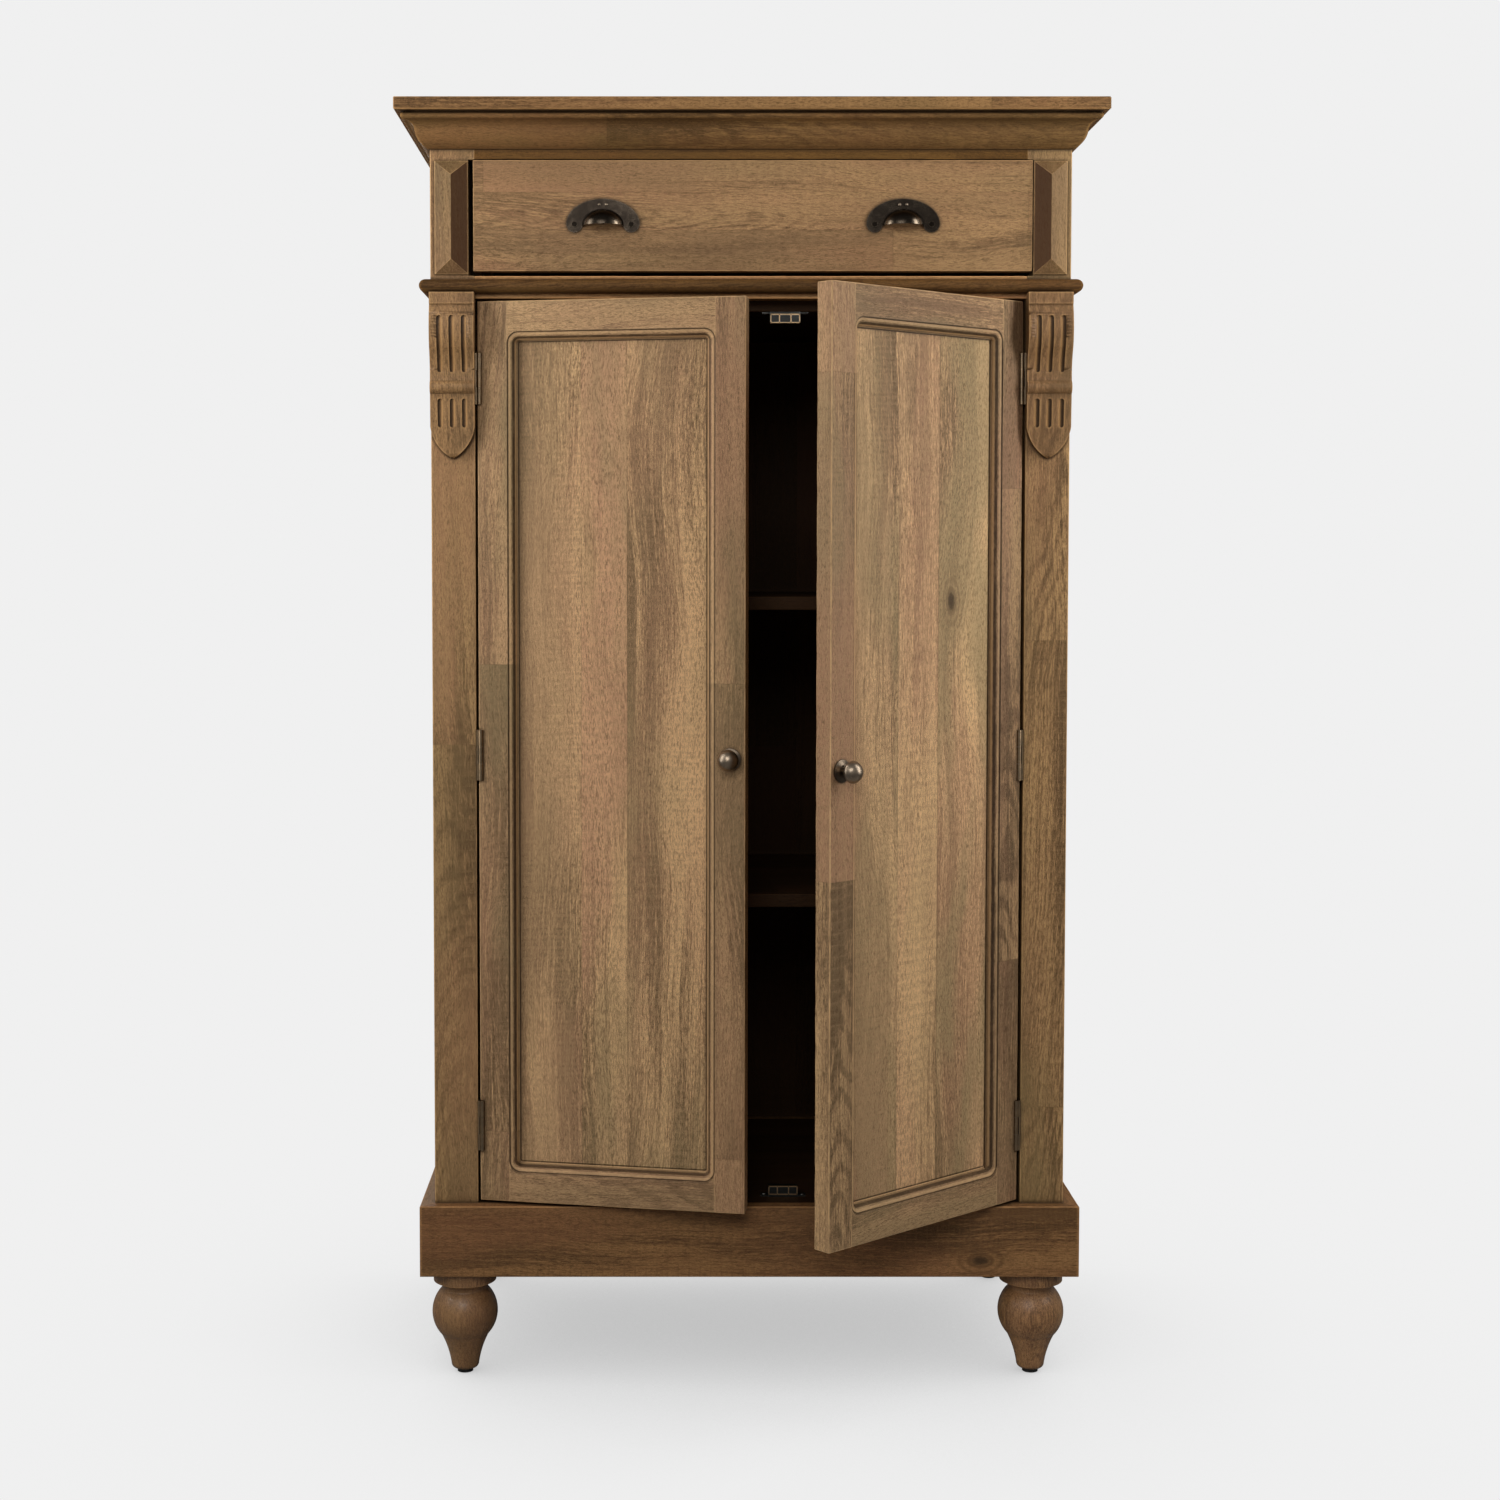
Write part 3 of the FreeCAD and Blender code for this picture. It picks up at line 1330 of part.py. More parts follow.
def catch_levels():
    """The low side of each catch housing, the side that its foot is screwed to, and its name."""
    return (
        ("upper", z_divider - S["catch_height"], z_divider - S["catch_foot_thickness"]),
        ("lower", z_floor, z_floor),
    )


def catch_face():
    return stop_face - S["stop_gap"] + S["strike_thickness"] + S["catch_gap"]


def make_catches():
    y = catch_face()
    catches = []
    for word, side in SIDES.items():
        x = side * S["catch_offset"]
        for name, low, foot in catch_levels():
            half, foot_half = S["catch_width"] / 2, S["catch_foot_width"] / 2
            zs = (low, low + S["catch_height"])
            housing = board(f"catch_{name}_{word}", (x - half, x + half), (y, y + S["catch_depth"]), zs)
            foot_y = y + (S["catch_depth"] - S["catch_foot_depth"]) / 2
            plate = board(
                f"catch_foot_{name}_{word}",
                (x - foot_half, x + foot_half),
                (foot_y, foot_y + S["catch_foot_depth"]),
                (foot, foot + S["catch_foot_thickness"]),
            )
            catches.append(fuse(f"catch_whole_{name}_{word}", [housing, plate]))
    finish("magnetic_catches", group("magnetic_catches", catches))


def make_strikes(word, side, turn):
    x = side * S["catch_offset"]
    half = S["strike_width"] / 2
    low = z_door_low + S["strike_margin"]
    high = z_divider - S["strike_height"]
    plates = []
    for name, level in (("lower", low), ("upper", high)):
        zs = (level, level + S["strike_height"])
        ys = (door_back, door_back + S["strike_thickness"])
        plates.append(board(f"strike_{name}_{word}", (x - half, x + half), ys, zs))
    finish(f"door_{word}_strikes", group(f"door_{word}_strikes", plates), turn)


def check_and_write():
    doc.recompute()
    for obj in doc.Objects:
        if "Invalid" in obj.State or "Error" in obj.State:
            raise RuntimeError(f"{obj.Label} failed: {obj.State}")
    for piece in finished:
        shape = piece.Shape
        if shape.isNull() or not shape.isValid() or not shape.Solids:
            raise RuntimeError(f"{piece.Label} has no valid solid")
    os.makedirs("parts", exist_ok=True)
    for piece in finished:
        piece.Shape.exportStep(f"parts/{piece.Label}.step")
    print(len(finished), "pieces written")


def main():
    make_feet()
    make_plinth()
    make_posts()
    make_side_frames()
    make_rails_across()
    make_inner_boards()
    make_back_panel()
    make_top_board()
    make_cornice()
    make_waist_moulding()
    make_post_blocks()
    make_corbels()
    make_drawer_guides()
    make_drawer_box()
    make_pulls()
    make_hinges()
    make_doors()
    make_catches()
    check_and_write()


main()
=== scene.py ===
"""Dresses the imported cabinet: stained wood, aged hardware, small fastenings, a plain studio."""

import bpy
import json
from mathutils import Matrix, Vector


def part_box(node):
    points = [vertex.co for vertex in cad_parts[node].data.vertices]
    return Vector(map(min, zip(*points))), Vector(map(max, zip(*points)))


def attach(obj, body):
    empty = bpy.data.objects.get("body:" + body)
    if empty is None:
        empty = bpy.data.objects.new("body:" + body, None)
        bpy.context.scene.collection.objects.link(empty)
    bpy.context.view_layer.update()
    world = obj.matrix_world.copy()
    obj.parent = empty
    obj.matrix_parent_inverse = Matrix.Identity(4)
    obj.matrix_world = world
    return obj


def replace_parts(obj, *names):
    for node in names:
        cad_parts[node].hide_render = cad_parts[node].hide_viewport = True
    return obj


bl_info = {
    "name": "Tall Cabinet Dresser",
    "version": (1, 0, 0),
    "blender": (4, 5, 0),
    "location": "3D View > Sidebar > Cabinet",
    "description": "Finishes a tall two-door cabinet in stained wood with aged hardware",
    "category": "Object",
}

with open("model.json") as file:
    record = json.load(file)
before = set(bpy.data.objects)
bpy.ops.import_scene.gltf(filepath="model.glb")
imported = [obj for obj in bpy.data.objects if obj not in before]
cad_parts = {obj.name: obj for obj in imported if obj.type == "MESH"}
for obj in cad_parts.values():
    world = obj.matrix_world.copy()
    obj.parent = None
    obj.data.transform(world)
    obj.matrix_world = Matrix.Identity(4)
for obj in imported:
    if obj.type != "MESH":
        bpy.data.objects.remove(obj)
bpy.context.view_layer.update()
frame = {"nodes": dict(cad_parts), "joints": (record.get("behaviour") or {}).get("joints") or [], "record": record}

import json
import math
import random
from collections import namedtuple
from functools import cache

import bmesh
import bpy
from bpy.props import FloatProperty, FloatVectorProperty, PointerProperty
from mathutils import Matrix, Vector, noise
from mathutils.bvhtree import BVHTree

AXES = {"X": Vector((1, 0, 0)), "Y": Vector((0, 1, 0)), "Z": Vector((0, 0, 1))}
SIDES = {"left": -1, "right": 1}
WHITE = (1.0, 1.0, 1.0)
BLACK = (0.0, 0.0, 0.0)

# Vertices this close are one, and faces this nearly in line are one face
WELD = 0.00002
FLAT_ANGLE = math.radians(0.25)
# Edges sharper than this are eased, and stay edges in the shading
SHARP_ANGLE = math.radians(32)
# Pieces this close lie against each other
TOUCHING = 0.0003
# A face whose normal has this share along an axis faces that way
FACING = 0.8

# Wooden pieces by group: the axes along the grain and across the face, the finish, and each
# piece with the seed of its boards
WOODEN_PIECES = {
    "carcase": (
        ("XY", "top_wood", {"top_board": 11}),
        ("XZ", "cornice_wood", {"cornice_front": 12}),
        ("YZ", "cornice_wood", {"cornice_left": 13, "cornice_right": 14}),
        ("XZ", "frieze_wood", {"frieze_rail": 15}),
        ("XZ", "waist_wood", {"waist_moulding_front": 16}),
        ("YZ", "waist_wood", {"waist_moulding_left": 17, "waist_moulding_right": 18}),
        ("XZ", "header_wood", {"header_rail": 19}),
        ("ZX", "post_wood", {"post_front_left": 20, "post_front_right": 27}),
        ("ZY", "post_wood", {"post_rear_left": 22, "post_rear_right": 23}),
        ("YZ", "post_wood", {"side_rails_left": 24, "side_rails_right": 25}),
        ("ZY", "panel_wood", {"side_panels_left": 26, "side_panels_right": 28}),
        ("XZ", "base_wood", {"plinth_front": 62}),
        ("YZ", "base_wood", {"plinth_sides": 33}),
        ("XZ", "base_wood", {"plinth_back": 34}),
    ),
    "ornament": (
        ("ZX", "post_wood", {"post_blocks": 29}),
        ("ZX", "carved_wood", {"corbel_left": 30, "corbel_right": 31}),
    ),
    "feet": (
        ("ZX", "foot_wood", {"foot_front_left": 35, "foot_front_right": 36}),
        ("ZX", "foot_wood", {"foot_rear_left": 37, "foot_rear_right": 38}),
    ),
    "interior": (
        ("XY", "inner_wood", {"divider_board": 39}),
        ("YX", "box_wood", {"drawer_guides": 40}),
        ("XY", "inner_wood", {"cabinet_floor": 41, "shelves": 42}),
        ("YZ", "inner_wood", {"shelf_cleats": 43}),
        ("ZX", "inner_wood", {"back_panel": 44}),
    ),
    "doors": (
        ("ZX", "frame_wood", {"door_left_hinge_stile": 75, "door_left_lock_stile": 46}),
        ("XZ", "frame_wood", {"door_left_top_rail": 47, "door_left_bottom_rail": 48}),
        ("ZX", "panel_wood", {"door_left_panel": 149}),
        ("ZX", "frame_wood", {"door_right_hinge_stile": 61, "door_right_lock_stile": 51}),
        ("XZ", "frame_wood", {"door_right_top_rail": 52, "door_right_bottom_rail": 53}),
        ("ZX", "panel_wood", {"door_right_panel": 54}),
    ),
    "drawer": (
        ("XZ", "drawer_wood", {"drawer_front": 55}),
        ("YZ", "box_wood", {"drawer_side_left": 56, "drawer_side_right": 57}),
        ("XZ", "box_wood", {"drawer_back": 58}),
        ("YX", "box_wood", {"drawer_bottom": 59}),
    ),
}

# Panels with another finish on the side that is out of sight. The inner faces of the cabinet take
# the near-black inner finish, painted shade.
SECOND_FINISH = {
    "side_panels_left": "inner_wood",
    "side_panels_right": "inner_wood",
    "back_panel": "back_wood",
}

# Pieces whose edges are worn more than the rest
WORN_MORE = {
    "top_board": 2.6,
    "cornice_front": 2.2,
    "waist_moulding_front": 1.8,
    "plinth_front": 1.5,
}
# Wear changes over this length, in this many blotches a metre
WEAR_SPACING = 0.014
WEAR_BLOTCHES = 45

# Edges that are eased: the shortest, and the narrowest face beside them
BOARD_EDGES = (0.01, 0.0025)
CARVED_EDGES = (0.006, 0.0007)
CARVED_ARRIS = 0.0005

# Pieces painted darker than the rest as painted shade, and by how much they are darkened
PAINTED_SHADE_PIECES = {"door_right_hinge_stile": 0.27, "plinth_front": 0.1}

# Painted shade on the facets of the raised blocks: towards the drawer, away from it, at the ends
FACET_PAINTED_SHADE = (1.0, 0.32, 0.4)

# Carved flutes of the corbels: half their width, and the space between their middles
FLUTE_HALF = 0.00335
FLUTE_SPACING = 0.0158

# Places of the large knots, along and across the grain, where the door or cabinet is closed
KNOTS = {"plinth_front": (0.31, 0.169), "door_right_panel": (1.04, 0.235)}

# The routed moulding round each door panel: middle, half size and corner of its outer line
RING_MIDDLE = (0.17845, 0.83155)
RING_HALF = (0.13675, 0.55035)
RING_CORNER = 0.015
RING_FLOOR = -0.2193
RING_SOFT = 0.0003
# Painted lines along it: dark ones of glazing and painted shade in its creases, pale ones of
# painted highlight on its rounded edges; from, to and strength
PAINTED_RING_LINES = (
    ("dark", -0.0004, 0.0011, 0.9),
    ("pale", 0.0015, 0.0045, 0.4),
    ("dark", 0.0062, 0.0088, 0.86),
    ("pale", 0.0092, 0.0113, 0.7),
    ("dark", 0.0116, 0.0134, 0.92),
)

# Metres: where the hardware sits, and the places and sizes of what is added to it
# Faces of a knob behind this depth lie behind its head and carry painted shade
KNOB_HEAD_UNDER = -0.244
PULL_MIDDLES = (-0.19135, 0.19665)
PULL_DOT_ASIDE, PULL_DOT_FRONT, PULL_DOT_HEIGHT = 0.0045, -0.2366, 1.5452
PULL_DOT_RADIUS = 0.0021
# The lip of a pull painted rubbed and bright, partly painted highlight: middle, front and heights
PULL_LIP_MIDDLE, PULL_LIP_FRONT = 0.194, -0.2395
PULL_LIP_HEIGHTS = (1.516, 1.534)
# Screws of a hinge leaf: up from the hinge's middle, and their depth in the cabinet
HINGE_MIDDLES = (0.3415, 0.83155, 1.3216)
HINGE_SCREW_FACES = {"post": 0.3559, "door": 0.3549}
HINGE_SCREWS = ((-0.024, -0.2235), (0.0, -0.215), (0.024, -0.2235))
CATCH_MIDDLE = 0.0463
# Height of each catch's base, and whether it stands up from it or hangs down
CATCH_BASES = ((1.409, -1), (0.24, 1))
CATCH_SCREW_ASIDE, CATCH_SCREW_Y = 0.0255, -0.2
# The pressed frame on a catch: level bars from and to a height over the base, and uprights
FRAME_FRONT, FRAME_BACK = -0.2061, -0.205
FRAME_HALF_WIDTH = 0.0195
FRAME_BARS = ((0.0006, 0.0022), (0.0113, 0.0127))
FRAME_UPRIGHTS = (-0.0188, -0.0075, 0.0075, 0.0188)
UPRIGHT_HALF_WIDTH = 0.0007
UPRIGHT_SPAN = (0.001, 0.0125)
BAR_EASE = 0.0001
STRIKE_SCREW_FROM_END, STRIKE_SCREW_ASIDE = 0.0055, 0.011
STRIKE_HALF_THICKNESS = 0.00075

# The nails round the back panel: distance from its edge, and spaces across and up
NAIL_MARGIN = 0.011
NAIL_SPACES = (5, 10)

# Radius and height of each kind of screw or nail head
HEADS = {
    "hinge": (0.0028, 0.0004),
    "catch": (0.0027, 0.0009),
    "strike": (0.0023, 0.0003),
    "nail": (0.0024, 0.0005),
}
# Shares of them: the dome from rim to top, then the ring round the middle, in slots and beside
HEAD_DOME = ((1.0, 0.0), (0.97, 0.45), (0.8, 0.8), (0.45, 1.0))
HEAD_IN_SLOT, HEAD_BESIDE_SLOT = (0.4, 0.35), (0.16, 0.9)
HEAD_MIDDLE_DEPTH = 0.3
HEAD_SIDES = 20
SLOT_HALF_ANGLE = 0.32

# Each light: where it stands, where it points, its size, and the studio setting of its power
LIGHTS = {
    "side_light_left": ((-1.28, -0.66, 1.5), (0.0, -0.2, 1.1), (0.4, 1.5), "side_power"),
    "side_light_right": ((1.28, -0.66, 1.5), (0.0, -0.2, 1.1), (0.4, 1.5), "side_power"),
    "front_light": ((-0.8, -4.3, 2.9), (0.0, 0.0, 1.1), (2.4, 1.6), "front_power"),
    "back_light": ((-1.1, 3.6, 2.4), (0.0, 0.2, 0.9), (2.2, 1.8), "back_power"),
}

# Looks of each wood: tint, fitted part by part to how light or dark the part shows, so that some
# tints are painted light and painted shade (noted at their rows); contrast of the figure; roughness
# and specular level; dark glazing and painted shade in wide and in narrow recesses; pale worn
# edges, partly painted highlight; width and length of the staves against the usual ones; how much
# the staves differ
Look = namedtuple("Look", "tint contrast satin shine glaze nooks rub wide long patch")
LOOKS = {
    "frame_wood": ((1.24, 1.12, 0.93), 1.35, 0.56, 0.22, 0.25, 0.8, 1.0, 1.6, 1.1, 0.5),
    "panel_wood": ((1.6, 1.46, 1.22), 1.35, 0.56, 0.22, 0.12, 0.5, 1.0, 1.0, 30.0, 1.0),
    "drawer_wood": ((1.1, 0.93, 0.7), 1.45, 0.56, 0.22, 0.4, 0.9, 1.0, 0.58, 1.3, 0.9),
    "post_wood": ((1.15, 1.0, 0.73), 1.35, 0.56, 0.22, 0.6, 0.94, 1.0, 1.6, 1.1, 0.45),
    "carved_wood": ((0.95, 0.78, 0.55), 1.2, 0.5, 0.25, 0.36, 0.55, 1.6, 1.6, 2.0, 0.3),
    "top_wood": ((0.84, 0.66, 0.43), 1.3, 0.62, 0.14, 0.5, 0.94, 1.2, 1.1, 1.8, 0.7),
    "cornice_wood": ((0.72, 0.57, 0.33), 1.4, 0.62, 0.14, 0.6, 0.94, 1.0, 1.1, 2.2, 0.5),
    "waist_wood": ((0.4, 0.28, 0.14), 1.3, 0.6, 0.14, 0.5, 0.94, 1.3, 1.1, 2.2, 0.5),
    # The frieze under the cornice: a darker tint, painted shade
    "frieze_wood": ((0.6, 0.42, 0.17), 1.3, 0.6, 0.14, 0.5, 0.94, 1.3, 1.1, 2.2, 0.5),
    # The header under the waist moulding: a brighter tint, painted light against the shade there
    "header_wood": ((1.5, 1.15, 0.8), 1.2, 0.6, 0.14, 0.2, 0.6, 1.0, 1.1, 2.2, 0.5),
    # The plinth: a darker tint, painted shade low down
    "base_wood": ((0.88, 0.65, 0.42), 1.35, 0.56, 0.2, 0.45, 0.94, 1.0, 1.8, 4.0, 0.4),
    # The feet: a brighter tint, painted light
    "foot_wood": ((1.1, 0.84, 0.59), 1.3, 0.36, 0.5, 0.5, 0.94, 1.0, 1.4, 2.0, 0.2),
    # The inside: near black, painted shade in the closed cabinet
    "inner_wood": ((0.095, 0.064, 0.042), 0.9, 0.6, 0.1, 0.6, 0.94, 0.4, 1.0, 1.5, 1.0),
    "box_wood": ((0.5, 0.37, 0.23), 1.1, 0.6, 0.1, 0.6, 0.94, 0.4, 1.0, 1.5, 1.0),
    "back_wood": ((0.46, 0.33, 0.2), 1.1, 0.6, 0.1, 0.6, 0.94, 0.4, 1.0, 1.5, 1.0),
}

DOOR_WOODS = ("frame_wood", "panel_wood")

# Layers of the figure: features a metre along and across the grain, detail and roughness, and
# how much the layer pales or darkens the wood
FIGURE = {
    "clouds": (1.3, 11.0, 2.0, 0.6, 2.3),
    "bands": (1.1, 38.0, 3.0, 0.6, 0.7),
    "streaks": (3.6, 190.0, 4.0, 0.65, 0.7),
    "lines": (4.5, 360.0, 2.0, 0.5, 0.9),
    "dashes": (22.0, 330.0, 3.0, 0.65, 0.5),
    "fibres": (60.0, 520.0, 3.0, 0.75, 1.6),
    "mottle": (30.0, 90.0, 4.0, 0.7, 0.15),
    "smoke": (1.4, 26.0, 4.0, 0.62, 0.0),
    "pores": (120.0, 560.0, 2.0, 0.6, 0.0),
    "fine_pores": (200.0, 1100.0, 1.0, 0.5, 0.0),
}
# The same for specks that aren't drawn out along the grain
SPECKS, SPECKS_SHARE = (520.0, 3.0, 0.75), 0.6
# Slow waves of the grain: along, across, detail and sideways shift
FLOW = (1.7, 7.0, 2.0, 0.042)
BEND = (2.8, 2.2, 1.0, 0.05)
CURL = (9.0, 16.0, 2.0, 0.007)

# Patches of colour: setting, place and scale of their noise, its threshold, and the number
# drawn for the stave that weakens them: which, from where, up to what strength
PATCHES = (
    ("rose", (3.1, 7.7, 1.3), 1.1, 0.42, 0, 0.2, 0.75),
    ("olive", (9.4, 2.2, 5.1), 1.3, 0.44, 2, 0.1, 0.8),
)

# Looks of each metal: name of the material; setting and tint of the patination, whose colour on
# the knobs also gives the painted shade behind the head, and of the rubbed metal; roughness; how
# much is rubbed off flats and off edges
Metal = namedtuple("Metal", "material patina patina_tint rubbed rubbed_tint rough flats edges")
WORN_KNOB = (2.2, 2.1, 2.0)
WORN_PLATING = (2.6, 2.4, 2.1)
METALS = {
    "aged_metal": ("aged_bronze", "bronze", WHITE, "rubbed", WHITE, 0.3, 0.08, 0.7),
    "screw_bronze": ("darkened_screws", "bronze", (0.35,) * 3, "rubbed", WHITE, 0.4, 0.02, 0.5),
    "catch_housing": ("catch_housing", "zinc", (0.12,) * 3, "zinc", WHITE, 0.45, 0.05, 0.5),
    "knob_metal": ("rubbed_knob", "knob", WHITE, "knob", WORN_KNOB, 0.36, 0.6, 0.9),
    "hinge_steel": ("antique_plating", "plating", WHITE, "plating", WORN_PLATING, 0.36, 0.35, 0.9),
    "catch_steel": ("zinc_plating", "zinc", WHITE, "zinc", (1.25,) * 3, 0.35, 0.6, 0.9),
}


# Sizes and colours that a user would change


def colour(name, description, default):
    return FloatVectorProperty(
        name=name, description=description, subtype="COLOR", size=3, min=0, max=1, default=default
    )


def length(name, description, default):
    return FloatProperty(
        name=name, description=description, unit="LENGTH", default=default, precision=4
    )


def number(name, description, default):
    return FloatProperty(name=name, description=description, default=default)


class CabinetWood(bpy.types.PropertyGroup):
    """Colours and measures of the wood"""

    pale: colour("Pale grain", "Palest streaks of the stained wood", (0.5, 0.345, 0.2))
    tan: colour("Tan grain", "Main colour of the stained wood", (0.36, 0.24, 0.14))
    brown: colour("Brown grain", "Darker streaks of the stained wood", (0.225, 0.145, 0.085))
    umber: colour("Umber grain", "Darkest figure of the stained wood", (0.115, 0.075, 0.042))
    rose: colour("Rose patches", "Pinkish patches of mango heartwood", (0.4, 0.235, 0.155))
    olive: colour("Olive patches", "Greenish grey patches of mango sapwood", (0.235, 0.185, 0.105))
    # Also the colour of the painted shade in recesses, flutes and block facets
    pore_and_shade: colour("Pores", "Stain held in pores, joints and recesses", (0.045, 0.025, 0.011))
    stave_width: length("Stave width", "Width of the strips of a wide board", 0.092)
    stave_length: length("Stave length", "Length of a strip before its end joint", 0.56)
    arris: length("Eased edge", "Width of the rounding along outer edges", 0.0013)
    wear: length("Edge wear", "How far worn edges sink in", 0.0004)


class CabinetMetal(bpy.types.PropertyGroup):
    """Colours of the hardware"""

    bronze: colour("Aged bronze", "Patina of the cup pulls", (0.019, 0.0145, 0.011))
    rubbed: colour("Rubbed bronze", "Where hands have polished the patina", (0.2, 0.155, 0.11))
    knob: colour("Knob metal", "Greyish bronze of the knobs", (0.24, 0.19, 0.14))
    plating: colour("Hinge plating", "Antique plating of the hinges and screws", (0.22, 0.16, 0.1))
    zinc: colour("Zinc", "Bright plating of catches and strike plates", (0.3, 0.3, 0.28))
    glide: colour("Glide", "Black moulded glides under the feet", (0.012, 0.012, 0.012))


class CabinetStudio(bpy.types.PropertyGroup):
    """Camera, lights and surroundings"""

    backdrop: colour("Backdrop", "Pale surroundings", (0.871, 0.871, 0.871))
    camera_x: length("Camera across", "Camera to the right of the cabinet's middle", -0.1097)
    camera_y: length("Camera back", "Camera in front of the cabinet's middle, negative", -3.1744)
    camera_z: length("Camera height", "Camera above the floor", 1.0944)
    lens: number("Lens", "Focal length in millimetres", 54.11)
    shift_x: number("Shift across", "Lens shift in widths", 0.056)
    shift_y: number("Shift up", "Lens shift in widths", -0.055)
    tilt: FloatProperty(
        name="Tilt", description="Camera tilted down", subtype="ANGLE", default=math.radians(2.88)
    )
    side_power: number("Side lights", "Watts of each side light", 12.5)
    front_power: number("Front light", "Watts of the front light", 66)
    back_power: number("Back light", "Watts of the light behind", 34)
    ambient: number("Ambient", "Light from all round", 0.1)
    mirrored: number("Mirrored", "Brightness that metal mirrors", 0.25)


# Shader building


class Nodes:
    """Adds nodes to a node tree and links them socket by socket."""

    def __init__(self, tree):
        self.tree = tree
        tree.nodes.clear()

    def add(self, kind, inputs=None, **settings):
        node = self.tree.nodes.new(kind)
        for key, value in settings.items():
            setattr(node, key, value)
        for key, value in (inputs or {}).items():
            if isinstance(value, bpy.types.NodeSocket):
                self.tree.links.new(value, node.inputs[key])
            else:
                node.inputs[key].default_value = value
        return node

    def math(self, operation, *values):
        inputs = dict(enumerate(values))
        return self.add("ShaderNodeMath", inputs, operation=operation).outputs[0]

    def plus(self, base, value, share=1.0):
        """The base plus a share of another value."""
        return self.math("MULTIPLY_ADD", value, share, base)

    def minus(self, first, second):
        return self.math("SUBTRACT", first, second)

    def times(self, first, second):
        return self.math("MULTIPLY", first, second)

    def larger(self, first, second):
        return self.math("MAXIMUM", first, second)

    def smaller(self, first, second):
        return self.math("MINIMUM", first, second)

    def centred(self, value):
        """Noise from 0 to 1 turned into noise round 0."""
        return self.minus(value, 0.5)

    def vector(self, operation, *values, output="Vector"):
        inputs = dict(enumerate(values))
        return self.add("ShaderNodeVectorMath", inputs, operation=operation).outputs[output]

    def length(self, vector):
        return self.vector("LENGTH", vector, output="Value")

    def split(self, vector):
        return self.add("ShaderNodeSeparateXYZ", {0: vector}).outputs

    def join(self, x, y, z):
        return self.add("ShaderNodeCombineXYZ", {0: x, 1: y, 2: z}).outputs[0]

    def mix(self, factor, first, second, blend="MIX"):
        inputs = {0: factor, 6: opaque(first), 7: opaque(second)}
        node = self.add("ShaderNodeMix", inputs, data_type="RGBA", blend_type=blend)
        node.clamp_factor = True
        return node.outputs[2]

    def noise(self, vector, scale=1.0, detail=3.0, roughness=0.55):
        inputs = {"Vector": vector, "Scale": scale, "Detail": detail, "Roughness": roughness}
        return self.add("ShaderNodeTexNoise", inputs).outputs[0]

    def white_noise(self, vector):
        """A random number and a random vector, the same for equal inputs."""
        inputs = {"Vector": vector}
        return self.add("ShaderNodeTexWhiteNoise", inputs, noise_dimensions="3D").outputs

    def remap(self, value, low, high, to_low=0.0, to_high=1.0):
        inputs = {0: value, 1: low, 2: high, 3: to_low, 4: to_high}
        return self.add("ShaderNodeMapRange", inputs, interpolation_type="SMOOTHSTEP").outputs[0]

    def ramp(self, factor, stops):
        node = self.add("ShaderNodeValToRGB", {0: factor})
        elements = node.color_ramp.elements
        while len(elements) < len(stops):
            elements.new(0.5)
        for element, (position, tone) in zip(elements, stops):
            element.position = position
            element.color = opaque(tone)
        return node.outputs[0]

    def occlusion(self, distance, samples=4, inside=False):
        inputs = {"Distance": distance}
        node = self.add("ShaderNodeAmbientOcclusion", inputs, samples=samples, inside=inside)
        return node.outputs["AO"]

    def attribute(self, name, output="Fac"):
        return self.add("ShaderNodeAttribute", attribute_name=name).outputs[output]

    def place(self):
        return self.add("ShaderNodeTexCoord").outputs["Object"]


class Shading(Nodes):
    """Builds one material."""

    def __init__(self, name):
        self.material = bpy.data.materials.new(name)
        self.material.use_nodes = True
        super().__init__(self.material.node_tree)

    def surface(self, inputs, height, strength, distance):
        bump = {"Height": height, "Strength": strength, "Distance": distance}
        inputs["Normal"] = self.add("ShaderNodeBump", bump).outputs[0]
        return self.close(self.add("ShaderNodeBsdfPrincipled", inputs).outputs[0])

    def close(self, shader):
        self.add("ShaderNodeOutputMaterial", {0: shader})
        return self.material


def opaque(tone):
    return tone if isinstance(tone, bpy.types.NodeSocket) else (*tone[:3], 1.0)


def tinted(tone, tint, share=1.0):
    return tuple(channel * part * share for channel, part in zip(tone, tint))


